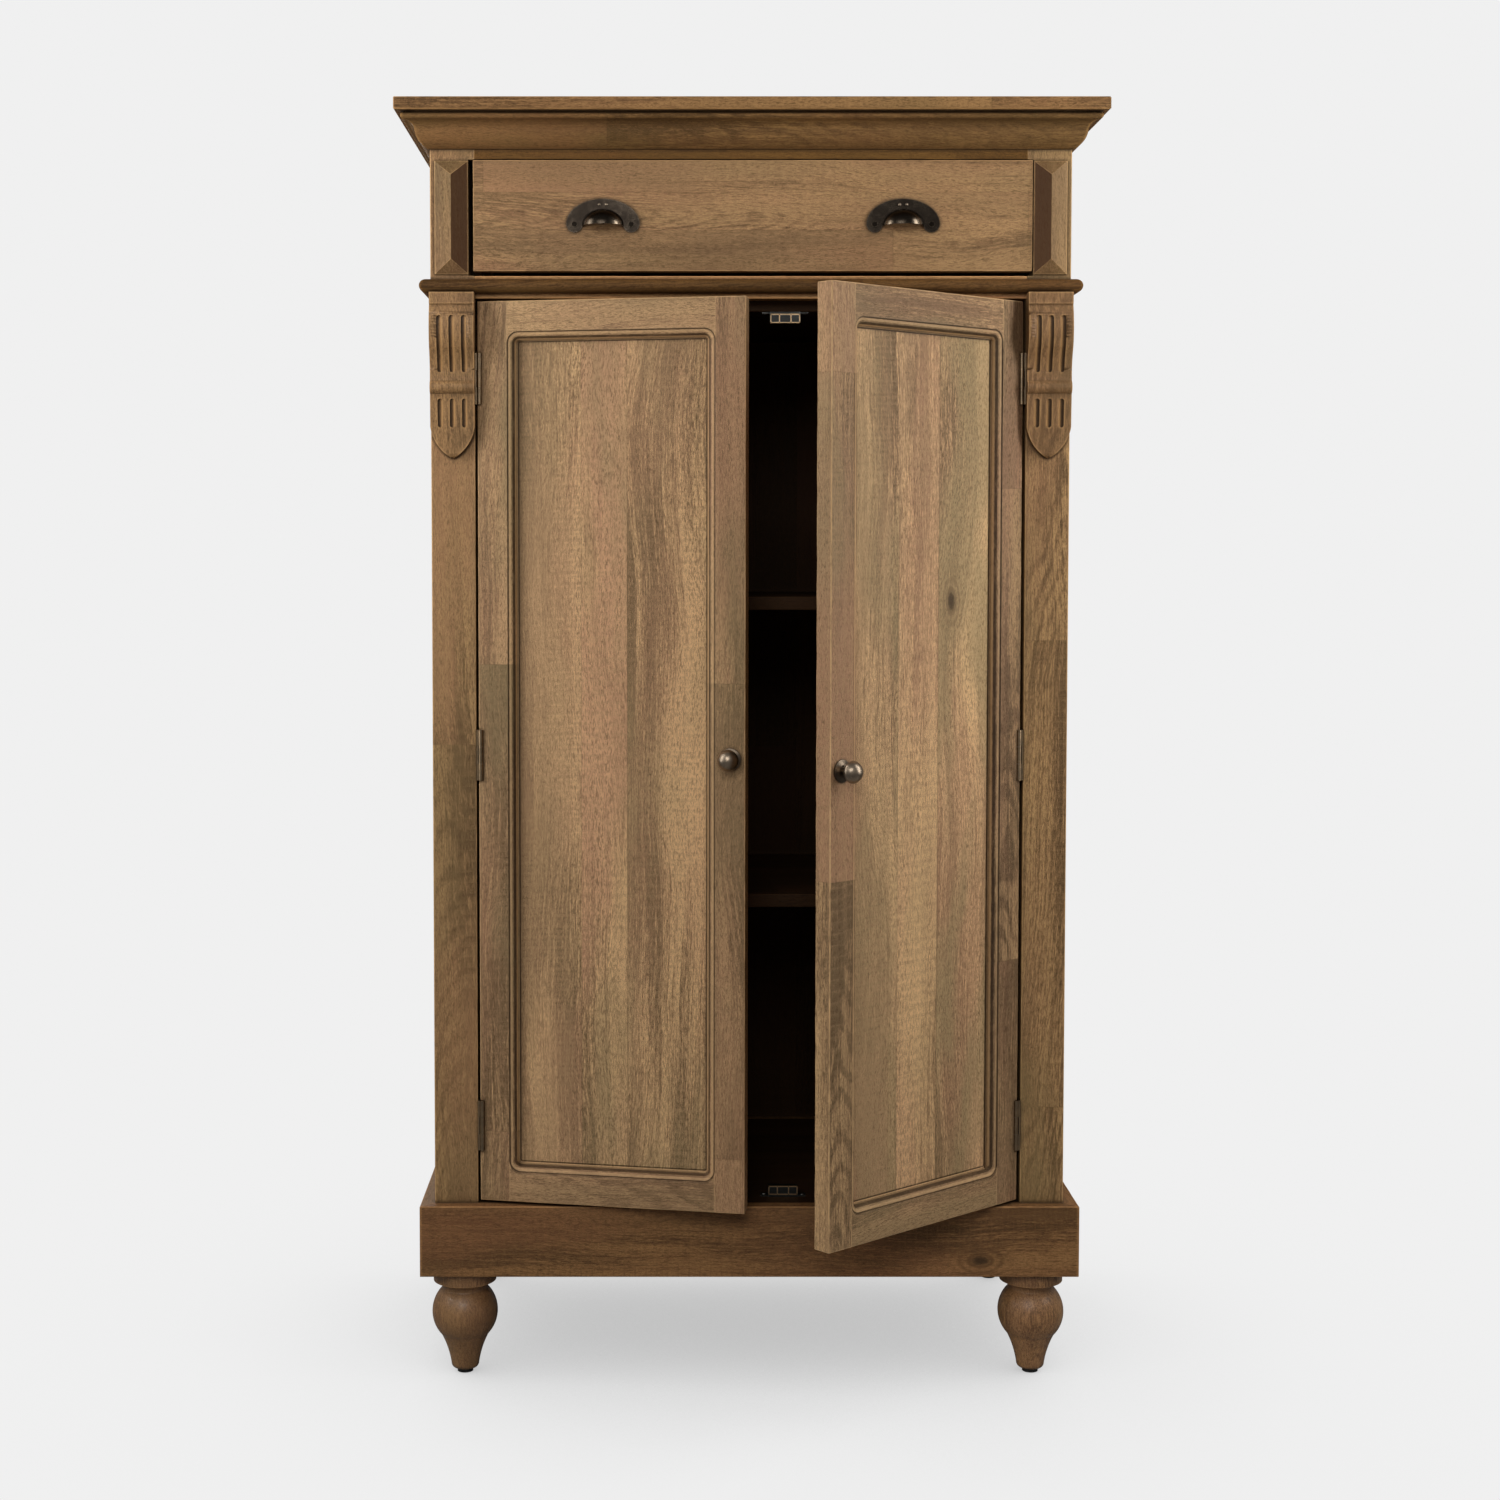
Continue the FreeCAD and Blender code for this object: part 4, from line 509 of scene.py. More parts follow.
class StainedWood(Shading):
    """Stained mango: glued staves, streaks, flames, pores and patches; dark glazing and painted shade in
    recesses; worn edges, partly painted highlight.
    """

    def __init__(self, name, wood):
        super().__init__(f"stained_{name}")
        self.name, self.wood = name, wood
        self.look = Look(*LOOKS[name])
        self.grain = self.attribute("grain", "Vector")
        self.board = self.split(self.attribute("board", "Vector"))
        self.cut_staves()
        self.bend_grain()
        self.draw_figure()
        self.lay_colours()
        self.set_large_knot()
        self.set_small_knots()
        self.paint_glaze_and_shade()
        self.paint_worn_edges_and_highlights()
        if name == "carved_wood":
            self.paint_flute_shade_and_highlight()
        # Painted shade over whole pieces
        self.paint(self.attribute("darker"), BLACK)
        self.set_surface()

    def paint(self, factor, tone):
        self.tone = self.mix(factor, self.tone, tone)

    def paint_pore_stain_and_shade(self, factor):
        """Paints with the dark colour of stained pores, joints and knots, also used for painted shade."""
        self.paint(factor, self.wood.pore_and_shade)

    def stain(self, factor, setting, share=1.0):
        """Paints with one of the wood's own colours, tinted like this wood; also used for painted highlights."""
        self.paint(factor, tinted(getattr(self.wood, setting), self.look.tint, share))

    def from_ends(self, value):
        """Distance of a number between 0 and 1 from the nearer of the two."""
        return self.smaller(value, self.minus(1.0, value))

    def cut_staves(self):
        """Staves side by side, each row with its own end joints and each stave with its draw."""
        along, across, _ = self.split(self.grain)
        crooked = self.noise(self.join(across, self.board[0], 0.0), 9.0, 1.0)
        rows = self.plus(across, self.centred(crooked), 0.11)
        rows = self.plus(0.12, rows, 1.0 / (self.wood.stave_width * self.look.wide))
        row = self.math("FLOOR", rows)
        row_draw = self.white_noise(self.join(row, self.board[1], self.board[2]))[0]
        columns = self.math("DIVIDE", along, self.wood.stave_length * self.look.long)
        columns = self.plus(columns, row_draw, 9.0)
        column = self.math("FLOOR", columns)
        self.stave = self.white_noise(self.join(row, column, self.board[0]))[1]
        self.draws = self.split(self.stave)
        self.inside = self.math("FRACT", rows)
        joint = self.from_ends(self.inside)
        end = self.from_ends(self.math("FRACT", columns))
        joint = self.remap(joint, 0.004, 0.012, 1.0, 0.0)
        self.seam = self.larger(joint, self.remap(end, 0.0004, 0.0016, 1.0, 0.0))

    def wave(self, lengthwise, crosswise, detail, shift):
        """Bends the grain sideways by slow noise; returns the noise and where it was read."""
        along, across = self.times(self.along, lengthwise), self.times(self.across, crosswise)
        slow = self.join(along, across, self.deep)
        wave = self.noise(slow, 1.0, detail)
        self.across = self.plus(self.across, wave, shift)
        return wave, slow

    def bend_grain(self):
        """Each stave is cut from another place, with its own lean."""
        elsewhere = self.vector("MULTIPLY", self.stave, (7.0, 7.0, 7.0))
        self.shifted = self.vector("ADD", self.grain, elsewhere)
        self.along, self.across, self.deep = self.split(self.shifted)
        lean = self.remap(self.draws[0], 0.0, 1.0, -0.03, 0.03)
        self.across = self.plus(self.across, self.split(self.grain)[0], lean)
        self.flow, self.slow = self.wave(*FLOW)
        self.wave(*BEND)
        self.curl, _ = self.wave(*CURL)

    def stretched(self, lengthwise, crosswise, detail, roughness):
        """Noise that is drawn out along the grain."""
        vector = self.join(
            self.times(self.along, lengthwise),
            self.times(self.across, crosswise),
            self.times(self.deep, crosswise),
        )
        return self.noise(vector, 1.0, detail, roughness)

    def flames(self):
        """Flat-sawn arches in about a third of the staves, none on a board's narrow edges."""
        centre = self.minus(self.inside, self.remap(self.draws[2], 0.0, 1.0, 0.2, 0.8))
        arch = self.times(self.times(centre, centre), 4.0)
        for value, share in ((self.along, 4.5), (self.flow, 2.2), (self.curl, 0.5)):
            arch = self.plus(arch, value, share)
        flame = self.math("SINE", self.times(arch, 26.0))
        zone = self.remap(self.draws[1], 0.42, 0.6)
        zone = self.times(zone, self.remap(self.noise(self.slow, 0.8, 1.0), 0.42, 0.6))
        zone = self.times(zone, self.minus(1.0, self.attribute("edge_grain")))
        return self.times(self.remap(flame, -0.2, 1.0), zone)

    def draw_figure(self):
        """Tone from dark figure to pale streak."""
        specks = self.noise(self.shifted, *SPECKS)
        tone = self.times(self.centred(specks), SPECKS_SHARE)
        self.figure = {}
        for name, (*layer, share) in FIGURE.items():
            self.figure[name] = self.stretched(*layer)
            if share:
                tone = self.plus(tone, self.centred(self.figure[name]), share)
        tone = self.plus(tone, self.flames(), -0.3)
        tone = self.plus(tone, self.centred(self.draws[1]), 0.26 * self.look.patch)
        tone = self.plus(tone, self.minus(self.board[1], 2.5), 0.02)
        tone = self.plus(0.53, tone, self.look.contrast)
        stops = ((0.1, "umber"), (0.34, "brown"), (0.55, "tan"), (0.85, "pale"))
        tint = self.look.tint
        stops = [(position, tinted(getattr(self.wood, shade), tint)) for position, shade in stops]
        self.tone = self.ramp(tone, stops)

    def lay_colours(self):
        """Rose and olive patches, smoky streaks, and dark pores and joints."""
        for setting, where, scale, threshold, number, start, most in PATCHES:
            patch = self.noise(self.vector("ADD", self.slow, where), scale, 3.0)
            weaker = self.remap(self.draws[number], start, 0.9, 0.25, most)
            self.stain(self.times(self.remap(patch, threshold, 0.6), weaker), setting)
        smoke = self.remap(self.figure["smoke"], 0.52, 0.74)
        smoke = self.times(smoke, self.remap(self.flow, 0.44, 0.62))
        self.stain(self.times(smoke, 0.55), "umber")
        pores = self.larger(self.figure["pores"], self.figure["fine_pores"])
        streaks = self.remap(self.figure["streaks"], 0.35, 0.75, 0.5, 1.0)
        self.pores = self.times(self.remap(pores, 0.53, 0.65), streaks)
        self.paint_pore_stain_and_shade(self.times(self.pores, 0.72))
        self.paint_pore_stain_and_shade(self.times(self.seam, 0.2))

    def set_large_knot(self):
        """One large knot with rings round it, on the pieces that KNOTS names."""
        across, up, here = self.split(self.attribute("knot_place", "Vector"))
        reach = self.vector("MULTIPLY", self.join(across, up, 0.0), (0.55, 1.0, 0.0))
        uneven = self.join(self.curl, self.figure["mottle"], 0.0)
        uneven = self.vector("MULTIPLY", uneven, (0.006, 0.006, 0.0))
        apart = self.length(self.vector("ADD", reach, uneven))
        swirl = self.times(self.remap(apart, 0.006, 0.03, 1.0, 0.0), here)
        rings = self.remap(self.math("SINE", self.times(apart, 900.0)), -0.6, 1.0, 0.15, 0.7)
        self.stain(self.times(swirl, rings), "umber")
        self.paint_pore_stain_and_shade(self.times(self.remap(apart, 0.004, 0.009, 0.8, 0.0), here))

    def set_small_knots(self):
        """Small knots, few of them."""
        field = self.join(self.times(self.along, 1.6), self.times(self.across, 7.0), 0.0)
        inputs = {"Vector": field, "Scale": 1.0}
        cells = self.add("ShaderNodeTexVoronoi", inputs, voronoi_dimensions="3D").outputs
        picked = self.remap(self.split(cells["Color"])[0], 0.86, 0.87)
        knot = self.times(self.remap(cells["Distance"], 0.02, 0.06, 1.0, 0.0), picked)
        self.paint_pore_stain_and_shade(self.times(knot, 0.7))

    def painted_ring_lines(self, kind):
        """Lines painted along the door's routed moulding: glazing and painted shade (dark), painted highlight
        (pale).
        """
        across, up, deep = self.split(self.attribute("ring_place", "Vector"))
        beyond = []
        for value, half in ((across, RING_HALF[0]), (up, RING_HALF[1])):
            beyond.append(self.minus(self.math("ABSOLUTE", value), half - RING_CORNER))
        squares = [self.math("POWER", self.larger(value, 0.0), 2.0) for value in beyond]
        outside = self.math("SQRT", self.plus(squares[1], squares[0]))
        outside = self.plus(outside, self.smaller(self.larger(*beyond), 0.0))
        inside = self.minus(RING_CORNER, outside)
        total = 0.0
        for line_kind, low, high, strength in PAINTED_RING_LINES:
            if line_kind == kind:
                rise = self.remap(inside, low - RING_SOFT, low + RING_SOFT, 0.0, strength)
                fall = self.remap(inside, high - RING_SOFT, high + RING_SOFT, 1.0, 0.0)
                total = self.larger(self.times(rise, fall), total)
        uneven = self.remap(self.figure["mottle"], 0.3, 0.55, 0.6, 1.0)
        in_front = self.math("LESS_THAN", deep, RING_FLOOR)
        return self.times(self.times(total, in_front), uneven)

    def paint_glaze_and_shade(self):
        """Dark end grain; dark glazing and painted shade in recesses and on the door moulding; painted shade on
        block facets.
        """
        self.stain(self.times(self.attribute("end_grain"), 0.45), "umber")
        # Dark glazing and painted shade in narrow and wide recesses
        narrow = self.remap(self.occlusion(0.0045), 0.6, 0.97, self.look.nooks, 0.0)
        wide = self.remap(self.occlusion(0.03), 0.1, 0.9, self.look.glaze, 0.0)
        self.glaze = self.larger(narrow, wide)
        # Dark painted lines of the door moulding: glazing and painted shade
        if self.name in DOOR_WOODS:
            self.glaze = self.larger(self.glaze, self.painted_ring_lines("dark"))
        if self.name == "post_wood":
            # Painted shade on the facets of the raised blocks, darkest towards the drawer
            shaded = self.times(self.attribute("dark_glazed"), 0.92)
            self.paint(shaded, tinted(self.wood.pore_and_shade, (1.6, 1.1, 0.7)))
        self.paint_pore_stain_and_shade(self.glaze)

    def paint_worn_edges_and_highlights(self):
        """Pale worn edges, partly painted highlight, and the pale painted highlight lines of the door moulding."""
        reach = 0.95 if self.name == "carved_wood" else 0.78
        # Pale worn edges, partly painted highlight, stronger on the carved corbels
        edge = self.remap(self.occlusion(0.003, inside=True), 0.35, reach, 1.0, 0.0)
        pale_wear_and_highlight = self.larger(edge, self.attribute("arris"))
        least, most = 0.2 * self.look.rub, 0.75 * self.look.rub
        pale_wear_and_highlight = self.times(pale_wear_and_highlight, self.remap(self.figure["mottle"], 0.36, 0.6, least, most))
        # Pale painted highlight lines along the door moulding
        if self.name in DOOR_WOODS:
            pale_wear_and_highlight = self.larger(pale_wear_and_highlight, self.painted_ring_lines("pale"))
        self.stain(self.times(pale_wear_and_highlight, self.minus(1.0, self.glaze)), "pale", 1.25)

    def paint_flute_shade_and_highlight(self):
        """The floor of a flute: painted shade towards its outer side, a painted highlight towards its inner side.
        """
        floor, aside = self.attribute("flute_floor"), self.attribute("flute_across")
        self.paint_pore_stain_and_shade(self.times(self.remap(aside, -0.1, 0.5, 0.0, 0.8), floor))
        self.stain(self.times(self.remap(aside, -0.6, 0.05, 0.85, 0.0), floor), "pale", 1.45)

    def set_surface(self):
        """Satin lacquer, duller in pores, over a fine relief of fibres, pores and joints."""
        streaks = self.figure["streaks"]
        rough = self.plus(self.look.satin, self.centred(streaks), 0.25)
        rough = self.plus(rough, self.pores, 0.18)
        height = self.plus(self.times(streaks, 0.5), self.figure["fibres"], 0.35)
        height = self.plus(height, self.pores, -0.8)
        height = self.plus(height, self.seam, -0.6)
        inputs = {"Base Color": self.tone, "Roughness": rough, "IOR": 1.48}
        inputs["Specular IOR Level"] = self.look.shine
        self.surface(inputs, height, 0.35, 0.0005)


def lip_polish_and_highlight(make, place):
    """Where fingers have rubbed the front lip of a cup pull, placed at its left and right where the side lights'
    highlights fall: partly wear, partly painted highlight.
    """
    across, depth, lift = make.split(place)
    rubbed_lip_and_highlight = make.remap(lift, *PULL_LIP_HEIGHTS, 1.0, 0.0)
    rubbed_lip_and_highlight = make.times(rubbed_lip_and_highlight, make.math("LESS_THAN", depth, PULL_LIP_FRONT))
    aside = make.minus(make.math("ABSOLUTE", across), PULL_LIP_MIDDLE)
    aside = make.math("ABSOLUTE", aside)
    return make.times(rubbed_lip_and_highlight, make.remap(aside, 0.009, 0.02, 0.1, 1.0))


def metal_finish(name, metal):
    """Cast or pressed metal with blotchy patination, rubbed edges and dark recesses; painted shade behind the
    knobs' heads, and a rubbed lip on the pulls that is partly painted highlight.
    """
    look = Metal(*METALS[name])
    dark = tinted(getattr(metal, look.patina), look.patina_tint)
    worn = tinted(getattr(metal, look.rubbed), look.rubbed_tint)
    make = Shading(look.material)
    place = make.place()
    blotch = make.noise(place, 70.0, 5.0, 0.65)
    grit = make.noise(place, 900.0, 3.0, 0.6)
    drawn_out = make.vector("MULTIPLY", place, (60.0, 400.0, 1500.0))
    scratches = make.noise(drawn_out, 1.0, 2.0)
    edge = make.remap(make.occlusion(0.0016, inside=True), 0.3, 0.75, look.edges, 0.0)
    edge = make.times(edge, make.remap(blotch, 0.3, 0.6, 0.35, 1.0))
    rubbed = make.larger(make.times(make.remap(blotch, 0.4, 0.7), look.flats), edge)
    rough = look.rough
    # Rubbed bronze on the pull's lip, partly painted highlight
    if name == "aged_metal":
        rubbed_lip_and_highlight = lip_polish_and_highlight(make, place)
        rubbed = make.larger(rubbed, rubbed_lip_and_highlight)
        rough = make.plus(rough, rubbed_lip_and_highlight, -0.06)
    tone = make.mix(rubbed, dark, worn)
    tone = make.mix(make.remap(grit, 0.5, 0.75, 0.0, 0.35), tone, tinted(dark, WHITE, 0.45))
    # Painted shade on the rose and neck behind the knob's head
    if name == "knob_metal":
        patina = make.times(make.attribute("patina"), 0.62)
        tone = make.mix(patina, tone, tinted(dark, (0.16, 0.14, 0.12)))
    recess = make.remap(make.occlusion(0.004), 0.2, 0.8, 0.85, 0.0)
    tone = make.mix(recess, tone, tinted(dark, WHITE, 0.2))
    rough = make.plus(rough, make.centred(blotch), -0.3)
    rough = make.plus(rough, make.centred(scratches), 0.15)
    height = make.plus(make.times(blotch, 0.6), grit, 0.5)
    inputs = {"Base Color": tone, "Metallic": 1.0, "Roughness": rough}
    return make.surface(inputs, height, 0.2, 0.0004)


def moulded_finish(name, tone):
    """Matte moulded plastic with a fine grain and a little dust."""
    make = Shading(name)
    place = make.place()
    grit = make.noise(place, 1400.0, 3.0, 0.6)
    dust = make.remap(make.noise(place, 120.0, 4.0), 0.5, 0.8, 0.0, 0.25)
    shade = make.mix(dust, tone, (0.09, 0.085, 0.08))
    inputs = {"Base Color": shade, "Roughness": make.plus(0.42, grit, 0.2)}
    return make.surface(inputs, grit, 0.15, 0.0003)


@cache
def finish_of(name):
    """The finish by name, made the first time that a piece asks for it."""
    scene = bpy.context.scene
    if name in LOOKS:
        return StainedWood(name, scene.cabinet_wood).material
    if name in METALS:
        return metal_finish(name, scene.cabinet_metal)
    return moulded_finish("moulded_glide", scene.cabinet_metal.glide)


# Mesh building


def body_of_node(node):
    """The moving body that a CAD node belongs to."""
    bodies = frame["record"]["behaviour"]["bodies"]
    return next(body for body, nodes in bodies.items() if node in nodes)


def closing(body):
    """Carries a point of a door at rest to where it lies when the door is closed."""
    for joint in frame["joints"]:
        if joint["child"] == body and joint["type"] == "hinge":
            pivot = Matrix.Translation(Vector(joint["pos_m"]))
            turn = Matrix.Rotation(math.radians(joint["range_deg"][0]), 4, Vector(joint["axis"]))
            return pivot @ turn @ pivot.inverted()
    return Matrix.Identity(4)


@cache
def neighbours():
    """A search tree of every CAD node at rest, with its box."""
    trees = {}
    for name, obj in frame["nodes"].items():
        points = [vertex.co for vertex in obj.data.vertices]
        polygons = [polygon.vertices for polygon in obj.data.polygons]
        trees[name] = (BVHTree.FromPolygons(points, polygons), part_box(name))
    return trees


def touches_other(node, point):
    """True where another CAD node lies against this point."""
    for name, (tree, (low, high)) in neighbours().items():
        if name == node:
            continue
        if any(point[i] < low[i] - TOUCHING or point[i] > high[i] + TOUCHING for i in range(3)):
            continue
        if tree.find_nearest(point, TOUCHING)[0] is not None:
            return True
    return False


def outer_edges(bm, node, shortest, narrowest):
    """The free, sharp, outward edges that a maker eases with sandpaper."""
    chosen = []
    for edge in bm.edges:
        if len(edge.link_faces) != 2 or not edge.is_convex:
            continue
        size = edge.calc_length()
        if size < shortest or edge.calc_face_angle() < SHARP_ANGLE:
            continue
        if min(face.calc_area() for face in edge.link_faces) / size < narrowest:
            continue
        ends = [vertex.co for vertex in edge.verts]
        tried = [ends[0].lerp(ends[1], share) for share in (0.2, 0.5, 0.8)]
        if sum(touches_other(node, point) for point in tried) < 2:
            chosen.append(edge)
    return chosen


def ease_edges(bm, node, width, shortest, narrowest):
    """Rounds the outer edges, and marks the new faces to be painted as pale worn edges, partly painted highlight.
    """
    arris = bm.faces.layers.float.new("arris")
    edges = outer_edges(bm, node, shortest, narrowest)
    if edges:
        rounding = {"offset": width, "offset_type": "OFFSET", "segments": 2, "profile": 0.55}
        made = bmesh.ops.bevel(bm, geom=edges, affect="EDGES", clamp_overlap=True, **rounding)
        for face in made["faces"]:
            face[arris] = 1.0
    bm.normal_update()


def wear_edges(bm, depth, seed, direction):
    """Cuts the board across its grain and sinks its eased edges a little, unevenly."""
    arris = bm.faces.layers.float["arris"]
    spans = [vertex.co.dot(direction) for vertex in bm.verts]
    low, high = min(spans), max(spans)
    count = int((high - low) / WEAR_SPACING)
    for step in range(1, count):
        place = direction * (low + (high - low) * step / count)
        everything = bm.verts[:] + bm.edges[:] + bm.faces[:]
        plane = {"plane_co": place, "plane_no": direction}
        bmesh.ops.bisect_plane(bm, geom=everything, dist=WELD / 2, **plane)
    bm.normal_update()
    for vertex in bm.verts:
        if vertex.link_faces and all(face[arris] > 0.5 for face in vertex.link_faces):
            spot = vertex.co * WEAR_BLOTCHES + Vector((seed, 0, 0))
            rough = noise.fractal(spot, 1.0, 2.0, 3)
            vertex.co -= vertex.normal * depth * min(max(0.35 + rough, 0.0), 1.0)
    bm.normal_update()


def islands_of(bm):
    """The separate solids of a mesh, as lists of vertices."""
    bm.verts.index_update()
    seen, found = set(), []
    for start in bm.verts:
        if start.index in seen:
            continue
        seen.add(start.index)
        island, waiting = [], [start]
        while waiting:
            vertex = waiting.pop()
            island.append(vertex)
            for edge in vertex.link_edges:
                other = edge.other_vert(vertex)
                if other.index not in seen:
                    seen.add(other.index)
                    waiting.append(other)
        found.append(island)
    return found


def mark_faces(bm, name, number_of):
    """Writes a number on each face for the finish to read."""
    layer = bm.faces.layers.float.new(name)
    for face in bm.faces:
        face[layer] = number_of(face)


def mark_points(bm, name, vector_of):
    """Writes a vector on each point for the finish to read."""
    layer = bm.verts.layers.float_vector.new(name)
    for vertex in bm.verts:
        vertex[layer] = vector_of(vertex)


def place_ring(bm, node, to_closed):
    """Writes where each point of a door lies, measured from the middle of its moulding."""
    side = -1 if node.startswith("door_left") else 1

    def place(vertex):
        x, y, z = to_closed @ vertex.co
        return Vector((x - side * RING_MIDDLE[0], z - RING_MIDDLE[1], y))

    mark_points(bm, "ring_place", place)


def lay_grain(bm, directions, seed, to_closed):
    """Writes where each point lies in its own board: along the grain, across it and into it."""
    axes = [AXES[name] for name in directions]
    axes.append(next(axis for name, axis in AXES.items() if name not in directions))
    grain = bm.verts.layers.float_vector.new("grain")
    board = bm.verts.layers.float_vector.new("board")
    draw = random.Random(seed)

    def rank(island):
        """A number that sorts the islands by where they lie."""
        return sum((vertex.co for vertex in island), Vector()) @ Vector((1, 3, 7))

    for island in sorted(islands_of(bm), key=rank):
        places = [to_closed @ vertex.co for vertex in island]
        coordinates = [Vector([place.dot(axis) for axis in axes]) for place in places]
        corner = Vector([min(values) for values in zip(*coordinates)])
        numbers = Vector([draw.random() * 5 for _ in range(3)])
        shift = draw.random()
        for vertex, coordinate in zip(island, coordinates):
            vertex[grain] = coordinate - corner + Vector((shift, 0, 0))
            vertex[board] = numbers
    turn = to_closed.to_3x3()
    for name, axis in zip(("end_grain", "edge_grain"), axes):
        mark_faces(bm, name, lambda face: float(abs((turn @ face.normal).dot(axis)) > FACING))
    return axes


def place_knot(bm, spot, axes, to_closed):
    """Writes how far each point lies from the middle of a large knot."""

    def place(vertex):
        point = to_closed @ vertex.co
        return Vector((point.dot(axes[0]) - spot[0], point.dot(axes[1]) - spot[1], 1.0))

    mark_points(bm, "knot_place", place)


def facet_painted_shade(face):
    """How much painted shade darkens a facet of a raised block: most towards the drawer."""
    side = 1.0 if face.calc_center_median().x > 0 else -1.0
    inward = -side * face.normal.x
    towards, away, at_ends = FACET_PAINTED_SHADE
    if 0.1 < inward < 0.95:
        return towards
    if -0.95 < inward < -0.1:
        return away
    return at_ends if 0.1 < abs(face.normal.z) < 0.95 else 0.0


def place_flutes(bm, node):
    """Marks the floors of the flutes, and how far each point is outwards of a flute's middle, for the painted
    shade and highlight on them.
    """
    low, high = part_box(node)
    side = 1.0 if low.x > 0 else -1.0
    middles = [(low.x + high.x) / 2 + step * FLUTE_SPACING for step in (-1, 0, 1)]

    def nearest(x):
        return min(middles, key=lambda middle: abs(x - middle))

    def is_floor(face):
        middle = nearest(face.calc_center_median().x)
        reach = max(abs(vertex.co.x - middle) for vertex in face.verts)
        return float(face.normal.y < -0.3 and reach < 1.02 * FLUTE_HALF)

    mark_faces(bm, "flute_floor", is_floor)
    across = bm.verts.layers.float.new("flute_across")
    for vertex in bm.verts:
        vertex[across] = side * (vertex.co.x - nearest(vertex.co.x)) / FLUTE_HALF


def hidden_side(bm, node):
    """Gives the second finish to the faces of a panel that nobody sees from the front."""
    middle = sum((face.calc_center_median() for face in bm.faces), Vector()) / len(bm.faces)
    way = AXES["Y"]
    if node.startswith("side_"):
        way = Vector((-math.copysign(1, middle.x), 0, 0))
    for face in bm.faces:
        if face.normal.dot(way) > 0.7:
            face.material_index = 1


def make_piece(name, bm, finish, body, second=None):
    """Turns a bmesh into a shown piece with its finish that rides on a body."""
    mesh = bpy.data.meshes.new(name)
    bm.to_mesh(mesh)
    bm.free()
    mesh.shade_smooth()
    mesh.set_sharp_from_angle(angle=SHARP_ANGLE)
    mesh.materials.append(finish_of(finish))
    if second:
        mesh.materials.append(finish_of(second))
    piece = bpy.data.objects.new(name, mesh)
    bpy.context.scene.collection.objects.link(piece)
    flattened = piece.modifiers.new("flat_faces_stay_flat", "WEIGHTED_NORMAL")
    flattened.keep_sharp = True
    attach(piece, body)
    return piece


def dress_board(node, grain, finish, seed):
    """A copy of a wooden node with its own grain and, except on the feet, eased and worn edges, in place of the
    node.
    """
    wood = bpy.context.scene.cabinet_wood
    body = body_of_node(node)
    to_closed = closing(body)
    bm = bmesh.new()
    bm.from_mesh(frame["nodes"][node].data)
    bmesh.ops.remove_doubles(bm, verts=bm.verts, dist=WELD)
    bmesh.ops.dissolve_limit(bm, angle_limit=FLAT_ANGLE, verts=bm.verts, edges=bm.edges)
    bm.normal_update()
    if not node.startswith("foot_"):
        if node.startswith("corbel_"):
            ease_edges(bm, node, CARVED_ARRIS, *CARVED_EDGES)
        else:
            ease_edges(bm, node, wood.arris, *BOARD_EDGES)
        direction = to_closed.to_3x3().inverted() @ AXES[grain[0]]
        wear_edges(bm, wood.wear * WORN_MORE.get(node, 1.0), seed, direction)
    axes = lay_grain(bm, grain, seed, to_closed)
    if node in KNOTS:
        place_knot(bm, KNOTS[node], axes, to_closed)
    if node in PAINTED_SHADE_PIECES:
        mark_faces(bm, "darker", lambda _: PAINTED_SHADE_PIECES[node])
    if node == "post_blocks":
        mark_faces(bm, "dark_glazed", facet_painted_shade)
    if node.startswith("corbel_"):
        place_flutes(bm, node)
    if node.startswith("door_"):
        place_ring(bm, node, to_closed)
    second = SECOND_FINISH.get(node)
    if second:
        hidden_side(bm, node)
    piece = make_piece(f"{node}_dressed", bm, finish, body, second)
    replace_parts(piece, node)
    return piece


def dress_knob(word):
    """A copy of a knob whose rose and neck behind the head carry painted shade, in place of the node."""
    node = f"door_{word}_knob"
    to_closed = closing(f"door_{word}")
    bm = bmesh.new()
    bm.from_mesh(frame["nodes"][node].data)

    def behind_head(face):
        return float((to_closed @ face.calc_center_median()).y > KNOB_HEAD_UNDER)

    mark_faces(bm, "patina", behind_head)
    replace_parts(make_piece(f"{node}_dressed", bm, "knob_metal", f"door_{word}"), node)


def dress_group(group):
    """Dresses the wooden pieces of a group."""
    for grain, finish, seeds in WOODEN_PIECES[group]:
        for node, seed in seeds.items():
            dress_board(node, grain, finish, seed)


def finish_node(node, finish):
    """Gives a CAD node that keeps its shape a better finish."""
    obj = frame["nodes"][node]
    obj.data.materials.clear()
    obj.data.materials.append(finish_of(finish))


def look_along(direction):
    """A turn that carries +Z to a direction."""
    return AXES["Z"].rotation_difference(Vector(direction)).to_matrix().to_4x4()


